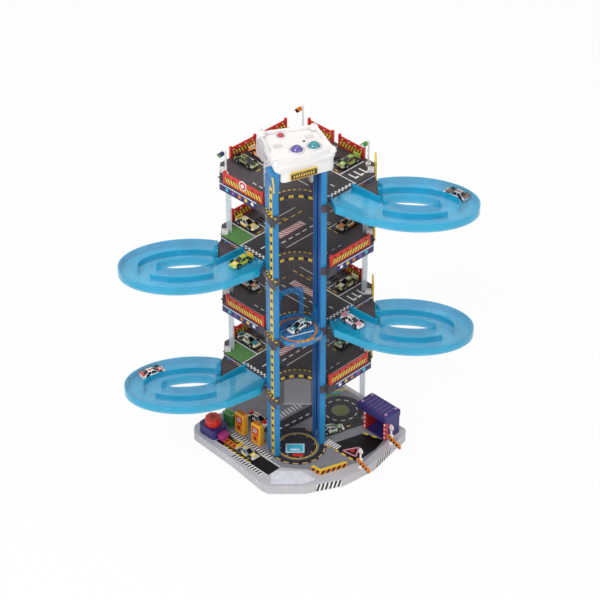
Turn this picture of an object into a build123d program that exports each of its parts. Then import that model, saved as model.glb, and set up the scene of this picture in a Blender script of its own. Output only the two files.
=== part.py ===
from build123d import *
import os
from math import acos, atan, atan2, cos, degrees, radians, sin, sqrt

# A toy parking garage: a square tower seen corner-on, five floors, a lift at the front corner
# and two oval loop tracks on each side. Millimetres, +Z up, -Y to the front.
# Origin: the lift's axis, on the surface that the base stands on.

# ---------------------------------------------------------------- driving dimensions
LEVEL_PITCH = 120.0          # floor to floor
FIRST_STOREY = 125.0         # base floor to the first deck
BASE_HEIGHT = 20.0
BASE_WALL = 2.6
BASE_PLATE = 3.0

SHAFT_RADIUS = 46.0          # round hole of every deck
RIM_WIDTH = 5.0              # ring round the hole that reaches the columns
LIFT_TURN = 22.5             # the lift looks this far to the right of the tower's corner

DECK_PLATE = 3.0
DECK_SKIRT = 16.0
DECK_WALL = 2.2
FENCED_EDGE = 35.0           # from the lift's axis to the fenced front edge
EXIT_EDGE = 20.0             # from the lift's axis to the edge with the lane mouth
REAR_EDGE = 178.0            # from the lift's axis to the two rear edges
SIDE_CUT = 124.0             # the side corners are cut off here
REAR_CUT = 235.0             # the rear corner is cut off here

COLUMN_WIDTH = 10.0
COLUMN_DEPTH = 32.0
COLUMN_WALL = 2.0
COLUMN_INNER = 36.0          # lift axis to a column's inner face
COLUMN_FRONT = 11.0          # lift axis to the columns' front faces
COLLAR_WALL = 3.0
COLLAR_HEIGHT = 10.0
SCREW_HOLE = 1.25
SCREW_HEAD = 2.6

LOOP_CENTRE = (180.0, 9.0)
LOOP_LONG = 107.0            # half axes of the outer wall
LOOP_SHORT = 68.5
LOOP_TILT = 6.0              # outer end towards the front
LOOP_END = 123.0             # angle round the oval where its lanes end at the rear
BRIDGE_REACH = 136.0         # how far the corner plates reach under the lanes' ends
LANE = 28.0
LOOP_WALL = 2.0
LOOP_HEIGHT = 14.0
LOOP_FLOOR = 2.0
LOOP_DROP = 8.0              # underside of a loop below its deck's top
HOLE_LONG = 44.0
HOLE_SHORT = 13.0
MOUTH_NEAR = 52.0            # lane mouth along the deck's edge
MOUTH_FAR = 103.0
NEAR_WALL = [(60.0, -8.0), (112.0, -42.5), (150.0, -50.0)]     # from beside the column to the oval
LOOP_END_CORNER = 22.0       # rear end of the far wall, from the lift's axis
TONGUE = 12.0                # what reaches under the deck
TONGUE_THICK = 4.0
MIDDLE_WALLS = [(-125.0, -42.0), (-12.0, 134.0)]

FIT = 0.3                    # gap between pieces that move past each other
RUNNING = 0.05               # radial clearance of a pin in its hole

BASE_TOP = BASE_HEIGHT
DECK_TOPS = {n: BASE_TOP + FIRST_STOREY + LEVEL_PITCH * (n - 2) for n in (2, 3, 4, 5)}
TOP = DECK_TOPS[5]
EXIT_SIDE = {2: -1, 3: 1, 4: -1, 5: 1}     # -1: the lane leaves to the left, 1: to the right

os.makedirs("parts", exist_ok=True)


# ---------------------------------------------------------------- helpers
LOW = (Align.CENTER, Align.CENTER, Align.MIN)


def block(x_size, y_size, z_size, x=0.0, y=0.0, z=0.0, turn=0.0):
    """A box by its size, the centre of its foot and its turn about Z."""
    return Pos(x, y, z) * Rot(0, 0, turn) * Box(x_size, y_size, z_size, align=LOW)


def rod(radius, height, x=0.0, y=0.0, z=0.0):
    return Pos(x, y, z) * Cylinder(radius, height, align=LOW)


def cross_rod(radius, length, x, y, z, turn=0.0):
    """A cylinder lying along the turned X axis, by its middle."""
    return Pos(x, y, z) * Rot(0, 0, turn) * Rot(0, 90, 0) * Cylinder(radius, length)


def slab(points, height, z=0.0):
    return Pos(0, 0, z) * extrude(make_face(Polyline(*points, close=True)), height)


def on_lift(shape):
    """From the lift's own frame (+X along its front, +Y behind it) to the tower's."""
    return Rot(0, 0, LIFT_TURN) * shape


def uv(along, out):
    """A point by its distances along and outside the right front edge's direction."""
    return ((along + out) / sqrt(2), (along - out) / sqrt(2))


def side(shape, sign):
    return shape if sign > 0 else mirror(shape, about=Plane.YZ)


def flat(shape):
    """The solids of a shape, or of a list of shapes, in one list."""
    if isinstance(shape, (list, tuple)):
        return [solid for piece in shape for solid in flat(piece)]
    return list(shape.solids())


def save(name, *shapes):
    solids = flat(list(shapes))
    export_step(Compound(children=solids) if len(solids) > 1 else solids[0], f"parts/{name}.step")


# ---------------------------------------------------------------- lift frame places
COLUMN_X = COLUMN_INNER + COLUMN_WIDTH / 2
COLUMN_Y = COLUMN_DEPTH / 2 - COLUMN_FRONT
HOUSE_CLEAR = 62.0           # top deck to the underside of the control house
COLUMN_TOP = TOP + HOUSE_CLEAR


def column_footprint(sign, grow=0.0, height=1.0, z=0.0):
    return block(COLUMN_WIDTH + 2 * grow, COLUMN_DEPTH + 2 * grow, height, sign * COLUMN_X, COLUMN_Y, z)


# ---------------------------------------------------------------- base
LAUNCH_START = (-129.0, 25.0)
LAUNCH_LENGTH = 128.0
LANE_BORDER = 28.0
LANE_DEPTH = 1.5
LAUNCH_DIRECTION = (1 / sqrt(2), -1 / sqrt(2))
TURNTABLE_RADIUS = 35.5
TURNTABLE_THICK = 3.0
PIN_RADIUS = 4.0
POCKET_FLOOR = 2.0
FOOT_RADIUS = 7.0
FOOT_HEIGHT = 3.0
FEET = [(-146.0, 46.0), (-44.0, -86.0), (52.0, -76.0), (148.0, 14.0), (-95.0, 120.0), (95.0, 120.0), (0.0, 205.0), (0.0, 0.0)]


def lane_point(run, across=0.0):
    """A point on the launch lane: run along it, across to its right-rear side."""
    ux, uy = LAUNCH_DIRECTION
    return (LAUNCH_START[0] + ux * run - uy * across, LAUNCH_START[1] + uy * run + ux * across)


def rounded(corners):
    """A closed outline from its corners, each with its rounding radius."""
    face = Sketch() + make_face(Polyline(*[(x, y) for x, y, r in corners], close=True))
    for x, y, radius in corners:
        if radius > 0:
            nearest = face.vertices().sort_by_distance((x, y, 0))[0]
            face = fillet(nearest, radius)
    return face


def base_outline():
    rear_sum = REAR_EDGE * sqrt(2)
    shoulder = rear_sum - SIDE_CUT
    rear = rear_sum - REAR_CUT
    return rounded([
        (-SIDE_CUT, shoulder, 4), (-SIDE_CUT, 96, 0), (-150, 78, 14), (-176, 58, 16), (-176, 38, 10),
        (-110, -33, 30), (-61, -94, 12), (-49, -103.5, 8), (12, -103.5, 30), (78, -83, 40), (128, -44, 40),
        (165, 10, 20), (184, 34, 10), (184, 46, 6), (134, 92, 6), (SIDE_CUT, shoulder, 4),
        (rear, REAR_CUT, 4), (-rear, REAR_CUT, 4),
    ])


def base_tray():
    outline = base_outline()
    tray = extrude(outline, BASE_HEIGHT - FOOT_HEIGHT)
    tray = Pos(0, 0, FOOT_HEIGHT) * tray
    inside = extrude(offset(outline, -BASE_WALL), BASE_HEIGHT - FOOT_HEIGHT - BASE_PLATE)
    tray -= Pos(0, 0, FOOT_HEIGHT) * inside
    for x, y in FEET:
        tray += rod(FOOT_RADIUS + 2, BASE_HEIGHT - FOOT_HEIGHT - BASE_PLATE, x, y, FOOT_HEIGHT)
    pocket = TURNTABLE_THICK + FIT
    boss = rod(TURNTABLE_RADIUS + 4, pocket + POCKET_FLOOR, z=BASE_TOP - pocket - POCKET_FLOOR)
    tray += boss
    tray -= rod(TURNTABLE_RADIUS + 2 * FIT, pocket, z=BASE_TOP - pocket)
    tray += rod(PIN_RADIUS, TURNTABLE_THICK, z=BASE_TOP - pocket)
    middle = lane_point(LAUNCH_LENGTH / 2)
    tray -= block(LAUNCH_LENGTH, LANE_BORDER, LANE_DEPTH, middle[0], middle[1], BASE_TOP - LANE_DEPTH, -45)
    for sign in (-1, 1):
        tray -= on_lift(column_footprint(sign, 0, 4, BASE_TOP - 2))
    return tray


def base_feet():
    return [rod(FOOT_RADIUS, FOOT_HEIGHT, x, y, 0) for x, y in FEET]


def turntable():
    disc = rod(TURNTABLE_RADIUS, TURNTABLE_THICK, z=BASE_TOP - TURNTABLE_THICK)
    disc -= rod(PIN_RADIUS + RUNNING, TURNTABLE_THICK + 1, z=BASE_TOP - TURNTABLE_THICK - 0.5)
    for angle in range(0, 360, 45):
        disc -= Rot(0, 0, angle) * block(4, 1.2, 0.8, TURNTABLE_RADIUS - 4, 0, BASE_TOP - 0.8)
    return disc


save("base_tray", base_tray())
save("base_feet", *base_feet())
save("turntable_disc", turntable())

# ---------------------------------------------------------------- launcher
HOUSING_WIDTH = 40.0
HOUSING_DEPTH = 34.0
HOUSING_HEIGHT = 18.0
HOUSING_WALL = 2.0
BUTTON_RADIUS = 14.0
BUTTON_TRAVEL = 8.0
BUTTON_HEIGHT = 24.0
PUSHER = (17.0, 16.0, 10.0)
PUSHER_NOSE = 11.0           # the pusher's front, along the lane
HOUSING_AT = lane_point(-20.0)
SPRING_RADIUS = 6.0
SPRING_WIRE = 1.2


def octagon(radius, height, x, y, z):
    points = [(x + radius * cos(radians(a + 22.5)), y + radius * sin(radians(a + 22.5))) for a in range(0, 360, 45)]
    return slab(points, height, z)


def launcher_housing():
    x, y = HOUSING_AT
    body = block(HOUSING_WIDTH, HOUSING_DEPTH, HOUSING_HEIGHT, x, y, BASE_TOP, -45)
    body = fillet(body.edges().filter_by(Axis.Z), 8)
    body -= block(HOUSING_WIDTH - 2 * HOUSING_WALL - 6, HOUSING_DEPTH - 2 * HOUSING_WALL - 4,
                  HOUSING_HEIGHT - HOUSING_WALL, x, y, BASE_TOP, -45)
    body -= octagon(BUTTON_RADIUS + FIT, HOUSING_HEIGHT, x, y, BASE_TOP + 1)
    slot = lane_point(0)
    body -= block(HOUSING_WIDTH / 2 + 12, PUSHER[1] + 4 * FIT, PUSHER[2] + 3 * FIT, slot[0], slot[1], BASE_TOP, -45)
    return body


def launch_button():
    x, y = HOUSING_AT
    low = BASE_TOP + BUTTON_TRAVEL + 1.0
    button = octagon(BUTTON_RADIUS, BUTTON_HEIGHT, x, y, low)
    button = chamfer(button.faces().sort_by(Axis.Z)[-1].edges(), 2)
    return button - rod(SPRING_RADIUS + SPRING_WIRE, BUTTON_HEIGHT - 12, x, y, low)


def launch_spring():
    x, y = HOUSING_AT
    low = BASE_TOP + SPRING_WIRE
    height = BUTTON_TRAVEL + BUTTON_HEIGHT - 12 - SPRING_WIRE
    turns = 5
    path = Helix(pitch=height / turns, height=height, radius=SPRING_RADIUS)
    profile = Plane(origin=path @ 0, z_dir=path % 0) * Circle(SPRING_WIRE / 2)
    return Pos(x, y, low) * sweep(profile, path=path)


def launch_pusher():
    x, y = lane_point(PUSHER_NOSE - PUSHER[0] / 2)
    nose = block(PUSHER[0], PUSHER[1], PUSHER[2], x, y, BASE_TOP + FIT, -45)
    return fillet(nose.edges().filter_by(Axis.Z), 2)


save("launcher_housing", launcher_housing())
save("launch_button", launch_button())
save("launch_spring", launch_spring())
save("launch_pusher", launch_pusher())

# ---------------------------------------------------------------- street furniture on the base
PUMP = (11.0, 21.0, 42.0)
PUMP_PLACES = [(-95.0, 38.0), (-67.0, 9.0)]
HEDGE = (12.0, 22.0, 26.0)
HEDGE_AT = (-116.0, 60.0)
GARAGE_AT = (138.0, 48.0)
GARAGE = (34.0, 64.0)        # across, along the road
GARAGE_CLEAR = 38.0
GARAGE_ROOF = 12.0
GARAGE_WALL = 2.5
GARAGE_PILLAR = 5.0
GARAGE_SPLIT = 14.0          # from the garage's middle to its red wall
POST_RADIUS = 1.6
POST_HEIGHT = 40.0
SIGN_RADIUS = 5.5
BARRIER_POSTS = [(158.0, 7.0), (105.0, -55.0)]
ARM_HEADING = -58.0          # the arms point this way across the road
ARM = (38.0, 3.0, 8.0)
ARM_HEIGHT = 16.0
ARM_PIN = 1.2
ARM_HUB = 2.5
ROAD_BLOCK = [(23, -63), (38, -76), (83, -54), (81, -49.5), (38.5, -70.5), (26.5, -60)]
ROAD_BLOCK_HEIGHT = 9.0
RAMP = (46.0, 70.0, 26.0)
RAMP_AT = (0.0, 150.0)


def fuel_pump(x, y):
    body = block(PUMP[0], PUMP[1], PUMP[2], x, y, BASE_TOP, 45)
    body = fillet(body.edges().filter_by(Axis.Z), 1.5)
    body = fillet(body.faces().sort_by(Axis.Z)[-1].edges(), 3)
    face = Pos(x, y, BASE_TOP) * Rot(0, 0, 45) * Box(1.0, PUMP[1] - 8, 10, align=LOW)
    return body - Pos(-PUMP[0] / 2 / sqrt(2), -PUMP[0] / 2 / sqrt(2), 24) * face


def hedge():
    x, y = HEDGE_AT
    body = block(HEDGE[0], HEDGE[1], HEDGE[2], x, y, BASE_TOP, 45)
    return fillet(body.edges().filter_by(Axis.Z) + body.faces().sort_by(Axis.Z)[-1].edges(), 3.5)


def garage_roof():
    x, y = GARAGE_AT
    roof = block(GARAGE[0] + 4, GARAGE[1] + 4, GARAGE_ROOF, x, y, BASE_TOP + GARAGE_CLEAR, 45)
    roof = fillet(roof.edges().filter_by(Axis.Z), 4)
    roof = chamfer(roof.faces().sort_by(Axis.Z)[-1].edges(), 2)
    roof -= block(GARAGE[0] - 4, GARAGE[1] - 4, GARAGE_ROOF - 3, x, y, BASE_TOP + GARAGE_CLEAR, 45)
    return roof


def garage_local(shape):
    """From a frame with +X across the garage (to the right rear) and +Y along it (to the left rear)."""
    return Pos(GARAGE_AT[0], GARAGE_AT[1], BASE_TOP) * Rot(0, 0, 45) * shape


def garage_frame():
    """The wall along the rear, the one at the right end, a floor and the open front's pillar."""
    back = block(GARAGE_WALL, GARAGE[1], GARAGE_CLEAR, GARAGE[0] / 2 - GARAGE_WALL / 2, 0)
    right = block(GARAGE[0], GARAGE_WALL, GARAGE_CLEAR, 0, -GARAGE[1] / 2 + GARAGE_WALL / 2)
    pillar = block(GARAGE_PILLAR, GARAGE_PILLAR, GARAGE_CLEAR,
                   (GARAGE_PILLAR - GARAGE[0]) / 2, (GARAGE_PILLAR - GARAGE[1]) / 2)
    floor = block(GARAGE[0], GARAGE[1] / 2 + GARAGE_SPLIT, 1.0, 0, (GARAGE_SPLIT - GARAGE[1] / 2) / 2)
    return garage_local(back + right + pillar + floor)


def garage_red_wall():
    wall = block(GARAGE[0] - GARAGE_WALL, GARAGE_WALL, GARAGE_CLEAR,
                 -GARAGE_WALL / 2, GARAGE_SPLIT + GARAGE_WALL / 2)
    post = block(GARAGE_PILLAR, GARAGE_PILLAR, GARAGE_CLEAR,
                 (GARAGE_PILLAR - GARAGE[0]) / 2, GARAGE_SPLIT + GARAGE_PILLAR / 2)
    return garage_local(wall + post)


def on_barrier(shape, x, y):
    """From a frame whose +X follows an arm, at its post's foot."""
    return Pos(x, y, BASE_TOP) * Rot(0, 0, ARM_HEADING) * shape


def barrier_post(x, y):
    ring_z = POST_HEIGHT - SIGN_RADIUS
    post = rod(POST_RADIUS, ring_z) + rod(4, 2)
    sign = Pos(0, 0, ring_z) * Rot(90, 0, 0) * Cylinder(SIGN_RADIUS, 2)
    hub = Pos(0, 0, ARM_HEIGHT) * Rot(90, 0, 0) * Cylinder(3.2, 2 * ARM_HUB)
    pin = Pos(0, -ARM_HUB - 2.2, ARM_HEIGHT) * Rot(90, 0, 0) * Cylinder(ARM_PIN, 5)
    return on_barrier(post + sign + hub + pin, x, y)


def barrier_arm(x, y):
    arm = block(ARM[0], ARM[1], ARM[2], ARM[0] / 2 - 4, -ARM_HUB - FIT - ARM[1] / 2, ARM_HEIGHT - ARM[2] / 2)
    arm = fillet(arm.edges().filter_by(Axis.Y), 2)
    arm -= Pos(0, 0, ARM_HEIGHT) * Rot(90, 0, 0) * Cylinder(ARM_PIN + RUNNING, 40)
    return on_barrier(arm, x, y)


def rear_ramp():
    x, y = RAMP_AT
    wedge = Polyline((0, 0), (RAMP[1], 0), (RAMP[1], RAMP[2]), (RAMP[1] - 8, RAMP[2]), (0, 1.2), close=True)
    body = extrude(Plane.YZ * make_face(wedge), RAMP[0])
    return Pos(x - RAMP[0] / 2, y - RAMP[1] / 2, BASE_TOP) * body


save("fuel_pumps", *[fuel_pump(x, y) for x, y in PUMP_PLACES])
save("hedge", hedge())
save("garage_roof", garage_roof())
save("garage_frame", garage_frame())
save("garage_red_wall", garage_red_wall())
save("barrier_posts", *[barrier_post(x, y) for x, y in BARRIER_POSTS])
save("barrier_arm_right", barrier_arm(*BARRIER_POSTS[0]))
save("barrier_arm_front", barrier_arm(*BARRIER_POSTS[1]))
save("road_block", slab(ROAD_BLOCK, ROAD_BLOCK_HEIGHT, BASE_TOP))
save("rear_ramp", rear_ramp())


# ---------------------------------------------------------------- decks
def deck_face(sign):
    """The deck seen from above, lane mouth on the right when sign is 1."""
    exit_x = EXIT_EDGE * sqrt(2)
    fence_x = FENCED_EDGE * sqrt(2)
    rear_sum = REAR_EDGE * sqrt(2)
    front = ((exit_x - fence_x) / 2, -(exit_x + fence_x) / 2)
    points = [
        front,
        (SIDE_CUT, SIDE_CUT - exit_x),
        (SIDE_CUT, rear_sum - SIDE_CUT),
        (rear_sum - REAR_CUT, REAR_CUT),
        (REAR_CUT - rear_sum, REAR_CUT),
        (-SIDE_CUT, rear_sum - SIDE_CUT),
        (-SIDE_CUT, SIDE_CUT - fence_x),
    ]
    face = side(make_face(Polyline(*points, close=True)), sign)
    return face - Circle(SHAFT_RADIUS) - shaft_mouth()


def shaft_mouth():
    """The part of every floor that the columns and the open front of the shaft take up."""
    reach = 60.0
    rear = COLUMN_Y + COLUMN_DEPTH / 2
    mouth = Pos(0, (rear - reach) / 2) * Rectangle(2 * COLUMN_X + COLUMN_WIDTH, rear + reach)
    return Rot(0, 0, LIFT_TURN) * mouth


def collar(z):
    """The brackets round both columns, open to the shaft, drilled for a screw each."""
    outer = COLUMN_X + COLUMN_WIDTH / 2
    height = COLLAR_HEIGHT + DECK_PLATE
    brackets = []
    for sign in (-1, 1):
        bracket = block(COLLAR_WALL, COLUMN_DEPTH + 2 * COLLAR_WALL, height,
                        sign * (outer + COLLAR_WALL / 2), COLUMN_Y, z)
        for end in (-1, 1):
            bracket += block(COLUMN_WIDTH + COLLAR_WALL, COLLAR_WALL, height,
                             sign * (COLUMN_X + COLLAR_WALL / 2), COLUMN_Y + end * (COLUMN_DEPTH + COLLAR_WALL) / 2, z)
        brackets.append(bracket)
    return on_lift(brackets[0] + brackets[1])


def screw_room(z):
    """What the collar screws need at one deck: their holes and room for their heads."""
    outer = COLUMN_X + COLUMN_WIDTH / 2
    room = []
    for sign in (-1, 1):
        hole = cross_rod(SCREW_HOLE, 2 * COLLAR_WALL, sign * (outer + COLLAR_WALL), COLUMN_Y, z)
        head = cross_rod(SCREW_HEAD + FIT, 8, sign * (outer + COLLAR_WALL + 4), COLUMN_Y, z)
        room.append(on_lift(hole + head))
    return room[0] + room[1]


def lane_bridge(top):
    """The corner plate that carries the end of the loop's outer lane."""
    exit_x = EXIT_EDGE * sqrt(2)
    points = [(BRIDGE_REACH, 30), (BRIDGE_REACH, 72), (SIDE_CUT, SIDE_CUT - exit_x), (90, 90 - exit_x)]
    return slab(points, DECK_SKIRT - LOOP_DROP, top - DECK_SKIRT)


def deck(level):
    top = DECK_TOPS[level]
    sign = EXIT_SIDE[level]
    outline = deck_face(sign)
    body = Pos(0, 0, top - DECK_PLATE) * extrude(outline, DECK_PLATE)
    ring = extrude(outline, DECK_SKIRT) - extrude(offset(outline, -DECK_WALL, kind=Kind.INTERSECTION), DECK_SKIRT)
    body += Pos(0, 0, top - DECK_SKIRT) * ring
    rim = Circle(SHAFT_RADIUS + RIM_WIDTH) - Circle(SHAFT_RADIUS) - shaft_mouth()
    body += Pos(0, 0, top - DECK_SKIRT) * extrude(rim, DECK_SKIRT)
    mouth_width = MOUTH_FAR - MOUTH_NEAR
    x, y = uv((MOUTH_FAR + MOUTH_NEAR) / 2, EXIT_EDGE)
    opening = block(mouth_width, 2 * TONGUE, DECK_SKIRT - DECK_PLATE, x, y, top - DECK_SKIRT, 45)
    body -= side(opening, sign)
    body += side(lane_bridge(top), sign)
    body += collar(top - DECK_PLATE - COLLAR_HEIGHT)
    body -= screw_room(top - DECK_PLATE - COLLAR_HEIGHT / 2)
    return body


for level in DECK_TOPS:
    save(f"deck_{level}", deck(level))

# ---------------------------------------------------------------- fences
FENCE_HEIGHT = 22.0
FENCE_THICK = 2.5
FENCE_POST = 4.0
FRONT_FENCE = (42.0, 132.0)          # along the fenced front edge
REAR_FENCES = [(-80.0, -22.0)]
TOP_REAR_FENCES = [(-80.0, -22.0), (-150.0, -92.0)]


def fence_panel(start, end, out, top, along_front):
    """A panel with two posts; along the front edge, or along the rear edge at the same side."""
    length = end - start
    panel = block(length, FENCE_THICK, FENCE_HEIGHT - 3, 0, 0, 0)
    slots = int(length // 14)
    for i in range(slots):
        panel -= block(5, FENCE_THICK + 2, 3, (i - (slots - 1) / 2) * 14, 0, FENCE_HEIGHT - 9)
    for place in (-1, 1):
        panel += block(FENCE_POST, FENCE_POST, FENCE_HEIGHT, place * (length - FENCE_POST) / 2, 0, 0)
    middle = (start + end) / 2
    if along_front:
        x, y = uv(middle, out)
        return Pos(x, y, top) * Rot(0, 0, 45) * panel
    x, y = uv(out, middle)
    return Pos(x, y, top) * Rot(0, 0, -45) * panel


def fences(level):
    top = DECK_TOPS[level]
    inset = FENCE_POST / 2 + 0.5
    fenced = -EXIT_SIDE[level]
    panels = [side(fence_panel(*FRONT_FENCE, FENCED_EDGE - inset, top, True), fenced)]
    rear = TOP_REAR_FENCES if level == 5 else REAR_FENCES
    for start, end in rear:
        for sign in (-1, 1):
            panels.append(side(fence_panel(start, end, REAR_EDGE - inset, top, False), sign))
    return panels


for level in DECK_TOPS:
    save(f"fences_{level}", *fences(level))

# ---------------------------------------------------------------- posts between the storeys
CORNER_POST = 9.0
CORNER_POSTS = [(-111.0, 108.0), (111.0, 108.0)]
REAR_POSTS = [(-24.0, 214.0), (24.0, 214.0)]
STRIPE_PANEL = (2.5, 30.0, 34.0)


def storeys():
    """The floor and the ceiling of each storey below the top deck."""
    floors = [BASE_TOP] + [DECK_TOPS[n] for n in (2, 3, 4)]
    ceilings = [DECK_TOPS[n] - DECK_PLATE for n in (2, 3, 4, 5)]
    return list(zip(floors, ceilings))


def posts(places, size):
    return [block(size, size, high - low, x, y, low) for x, y in places for low, high in storeys()]


def stripe_panel(top):
    middle = (SIDE_CUT - EXIT_EDGE * sqrt(2) + REAR_EDGE * sqrt(2) - SIDE_CUT) / 2
    return block(*STRIPE_PANEL, SIDE_CUT + STRIPE_PANEL[0] / 2, middle, top - 13)


save("corner_posts", *posts(CORNER_POSTS + REAR_POSTS, CORNER_POST))
save("corner_stripe_panels", *[stripe_panel(top) for top in DECK_TOPS.values()])


# ---------------------------------------------------------------- loop tracks
def loop_arc(shrink, start, end):
    """An arc round the loop, this much inside its outer wall, by its start and end angle."""
    size = end - start
    return EllipticalCenterArc(LOOP_CENTRE, LOOP_LONG - shrink, LOOP_SHORT - shrink, start,
                               arc_size=size, rotation=-LOOP_TILT)


def loop_oval(long, short):
    return Pos(*LOOP_CENTRE) * Rot(0, 0, -LOOP_TILT) * Ellipse(long, short)


def oval_wall(shrink, start, end):
    """A wall's footprint along an arc round the loop."""
    outer = loop_arc(shrink, start, end)
    inner = loop_arc(shrink + LOOP_WALL, start, end)
    return make_face([outer, inner, Line(outer @ 0, inner @ 0), Line(outer @ 1, inner @ 1)])


def loop_outline(inset=0.0):
    """The track's outline, or the same this much inside its walls' outer faces."""
    end_x = (loop_arc(0, -90, LOOP_END) @ 1).X
    start = uv(MOUTH_NEAR, EXIT_EDGE)
    far = uv(MOUTH_FAR, EXIT_EDGE)
    corner = (end_x, LOOP_END_CORNER)
    entry = make_face(Polyline(start, *NEAR_WALL, LOOP_CENTRE, corner, far, close=True))
    clear = make_face(Polyline(far, corner, (end_x, LOOP_LONG), (0, LOOP_LONG), close=True))
    if inset > 0:
        entry = offset(entry, -inset, kind=Kind.INTERSECTION)
        clear = offset(clear, inset, kind=Kind.INTERSECTION)
    return loop_oval(LOOP_LONG - inset, LOOP_SHORT - inset) + entry - clear


def loop_track(level):
    sign = EXIT_SIDE[level]
    outline = loop_outline()
    lanes = loop_outline(LOOP_WALL) - loop_oval(HOLE_LONG + LOOP_WALL, HOLE_SHORT + LOOP_WALL)
    for start, end in MIDDLE_WALLS:
        lanes -= oval_wall(LOOP_WALL + LANE, start, end)
    track = extrude(outline, LOOP_HEIGHT)
    track -= Pos(0, 0, -1) * extrude(loop_oval(HOLE_LONG, HOLE_SHORT), LOOP_HEIGHT + 2)
    track -= Pos(0, 0, LOOP_FLOOR) * extrude(lanes, LOOP_HEIGHT)
    middle = (MOUTH_FAR + MOUTH_NEAR) / 2
    clear = MOUTH_FAR - MOUTH_NEAR - 2 * LOOP_WALL
    mouth = uv(middle, EXIT_EDGE)
    track -= block(clear, 4 * LOOP_WALL, LOOP_HEIGHT, mouth[0], mouth[1], LOOP_FLOOR, 45)
    rear = loop_arc(0, -90, LOOP_END) @ 1
    for lane_y in (rear.Y - 2 * LOOP_WALL - LANE * 0.4, rear.Y - 3 * LOOP_WALL - LANE * 1.25):
        track -= block(4 * LOOP_WALL, LANE * 0.6, LOOP_HEIGHT, rear.X, lane_y, LOOP_FLOOR)
    foot = uv(middle, EXIT_EDGE - TONGUE / 2)
    track += block(clear - 2, TONGUE + 1, TONGUE_THICK, foot[0], foot[1], 0, 45)
    return side(Pos(0, 0, DECK_TOPS[level] - LOOP_DROP) * track, sign)


LOOP_NAMES = {5: "loop_right_upper", 4: "loop_left_upper", 3: "loop_right_lower", 2: "loop_left_lower"}
for level, name in LOOP_NAMES.items():
    save(name, loop_track(level))

# ---------------------------------------------------------------- columns and lift
SLOT_WIDTH = 8.0
SLIDER_LENGTH = 18.0
SLIDER_LIFT = 16.0           # carriage floor to the sliders' lower ends
SLIDER_DEPTH = 12.0
CARRIAGE_RADIUS = 43.0
CARRIAGE_PLATE = 3.0
CARRIAGE_LEVEL = DECK_TOPS[3]
ARM_REACH = COLUMN_INNER - FIT
ARCH_HEIGHT = 58.0
CHEEK = 2.5
PULLEY_RADIUS = 8.0
BELT_THICK = 1.0
BELT_WIDTH = 3.0
AXLE_RADIUS = 1.5
PULLEY_TOP = COLUMN_TOP + 14.0
PULLEY_LOW = BASE_TOP + 10.0
BELT_X = COLUMN_X
MOTOR_RADIUS = 9.0
MOTOR_LENGTH = 30.0


def column(sign):
    low = BASE_TOP - 2
    height = COLUMN_TOP - low
    body = column_footprint(sign, 0, height, low)
    body -= block(COLUMN_WIDTH - 2 * COLUMN_WALL, COLUMN_DEPTH - 2 * COLUMN_WALL, height - COLUMN_WALL,
                  sign * COLUMN_X, COLUMN_Y, low + COLUMN_WALL)
    slot = block(2 * COLUMN_WALL + 1, SLOT_WIDTH, height - 8, sign * COLUMN_INNER, COLUMN_Y, BASE_TOP + 1)
    body -= slot
    for top in DECK_TOPS.values():
        body -= cross_rod(SCREW_HOLE, 2 * COLUMN_WALL, sign * (COLUMN_X + COLUMN_WIDTH / 2), COLUMN_Y,
                          top - DECK_PLATE - COLLAR_HEIGHT / 2)
    if sign > 0:
        body -= cross_rod(AXLE_RADIUS + RUNNING, 3 * COLUMN_WIDTH, COLUMN_X, COLUMN_Y, PULLEY_LOW)
    return on_lift(body)


def carriage():
    top = CARRIAGE_LEVEL
    floor = rod(CARRIAGE_RADIUS, CARRIAGE_PLATE, z=top - CARRIAGE_PLATE)
    floor &= block(2 * (ARM_REACH - 1), 4 * CARRIAGE_RADIUS, 4, 0, 0, top - CARRIAGE_PLATE - 0.5)
    rim = rod(CARRIAGE_RADIUS, 5, z=top) - rod(CARRIAGE_RADIUS - 2, 5, z=top)
    rim &= block(2 * (ARM_REACH - 1), 20, 5, 0, -CARRIAGE_RADIUS + 6, top)
    body = floor + rim
    for sign in (-1, 1):
        cheek = block(CHEEK, 34, 14, sign * (ARM_REACH - 1 - CHEEK / 2), COLUMN_Y, top - CARRIAGE_PLATE)
        ear = block(CHEEK, 14, CARRIAGE_PLATE + SLIDER_LIFT + SLIDER_LENGTH,
                    sign * (ARM_REACH - 1 - CHEEK / 2), COLUMN_Y, top - CARRIAGE_PLATE)
        tongue = block(COLUMN_WALL + 2 + 2 * FIT, SLOT_WIDTH - 2 * FIT, SLIDER_LENGTH - 4,
                       sign * (COLUMN_INNER + COLUMN_WALL / 2), COLUMN_Y, top + SLIDER_LIFT + 2)
        slider_width = COLUMN_WIDTH - 2 * COLUMN_WALL - 2 * FIT
        slider = block(slider_width, SLIDER_DEPTH, SLIDER_LENGTH, sign * COLUMN_X, COLUMN_Y, top + SLIDER_LIFT)
        body += cheek + ear + tongue + slider
    clip_depth = PULLEY_RADIUS - SLIDER_DEPTH / 2 - FIT
    clip = block(BELT_WIDTH, clip_depth, 10, COLUMN_X, COLUMN_Y + SLIDER_DEPTH / 2 + clip_depth / 2, top + SLIDER_LIFT + 4)
    body += clip
    arch = rod(CARRIAGE_RADIUS - 4, ARCH_HEIGHT, z=top) - rod(CARRIAGE_RADIUS - 6.5, ARCH_HEIGHT, z=top)
    arch &= block(46, 60, ARCH_HEIGHT, 0, 32, top)
    window = Pos(0, 30, top + 6) * Box(34, 40, ARCH_HEIGHT - 16, align=LOW)
    window = fillet(window.edges().filter_by(Axis.Y).sort_by(Axis.Z)[-2:], 14)
    body += arch - window
    return on_lift(body)


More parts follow.
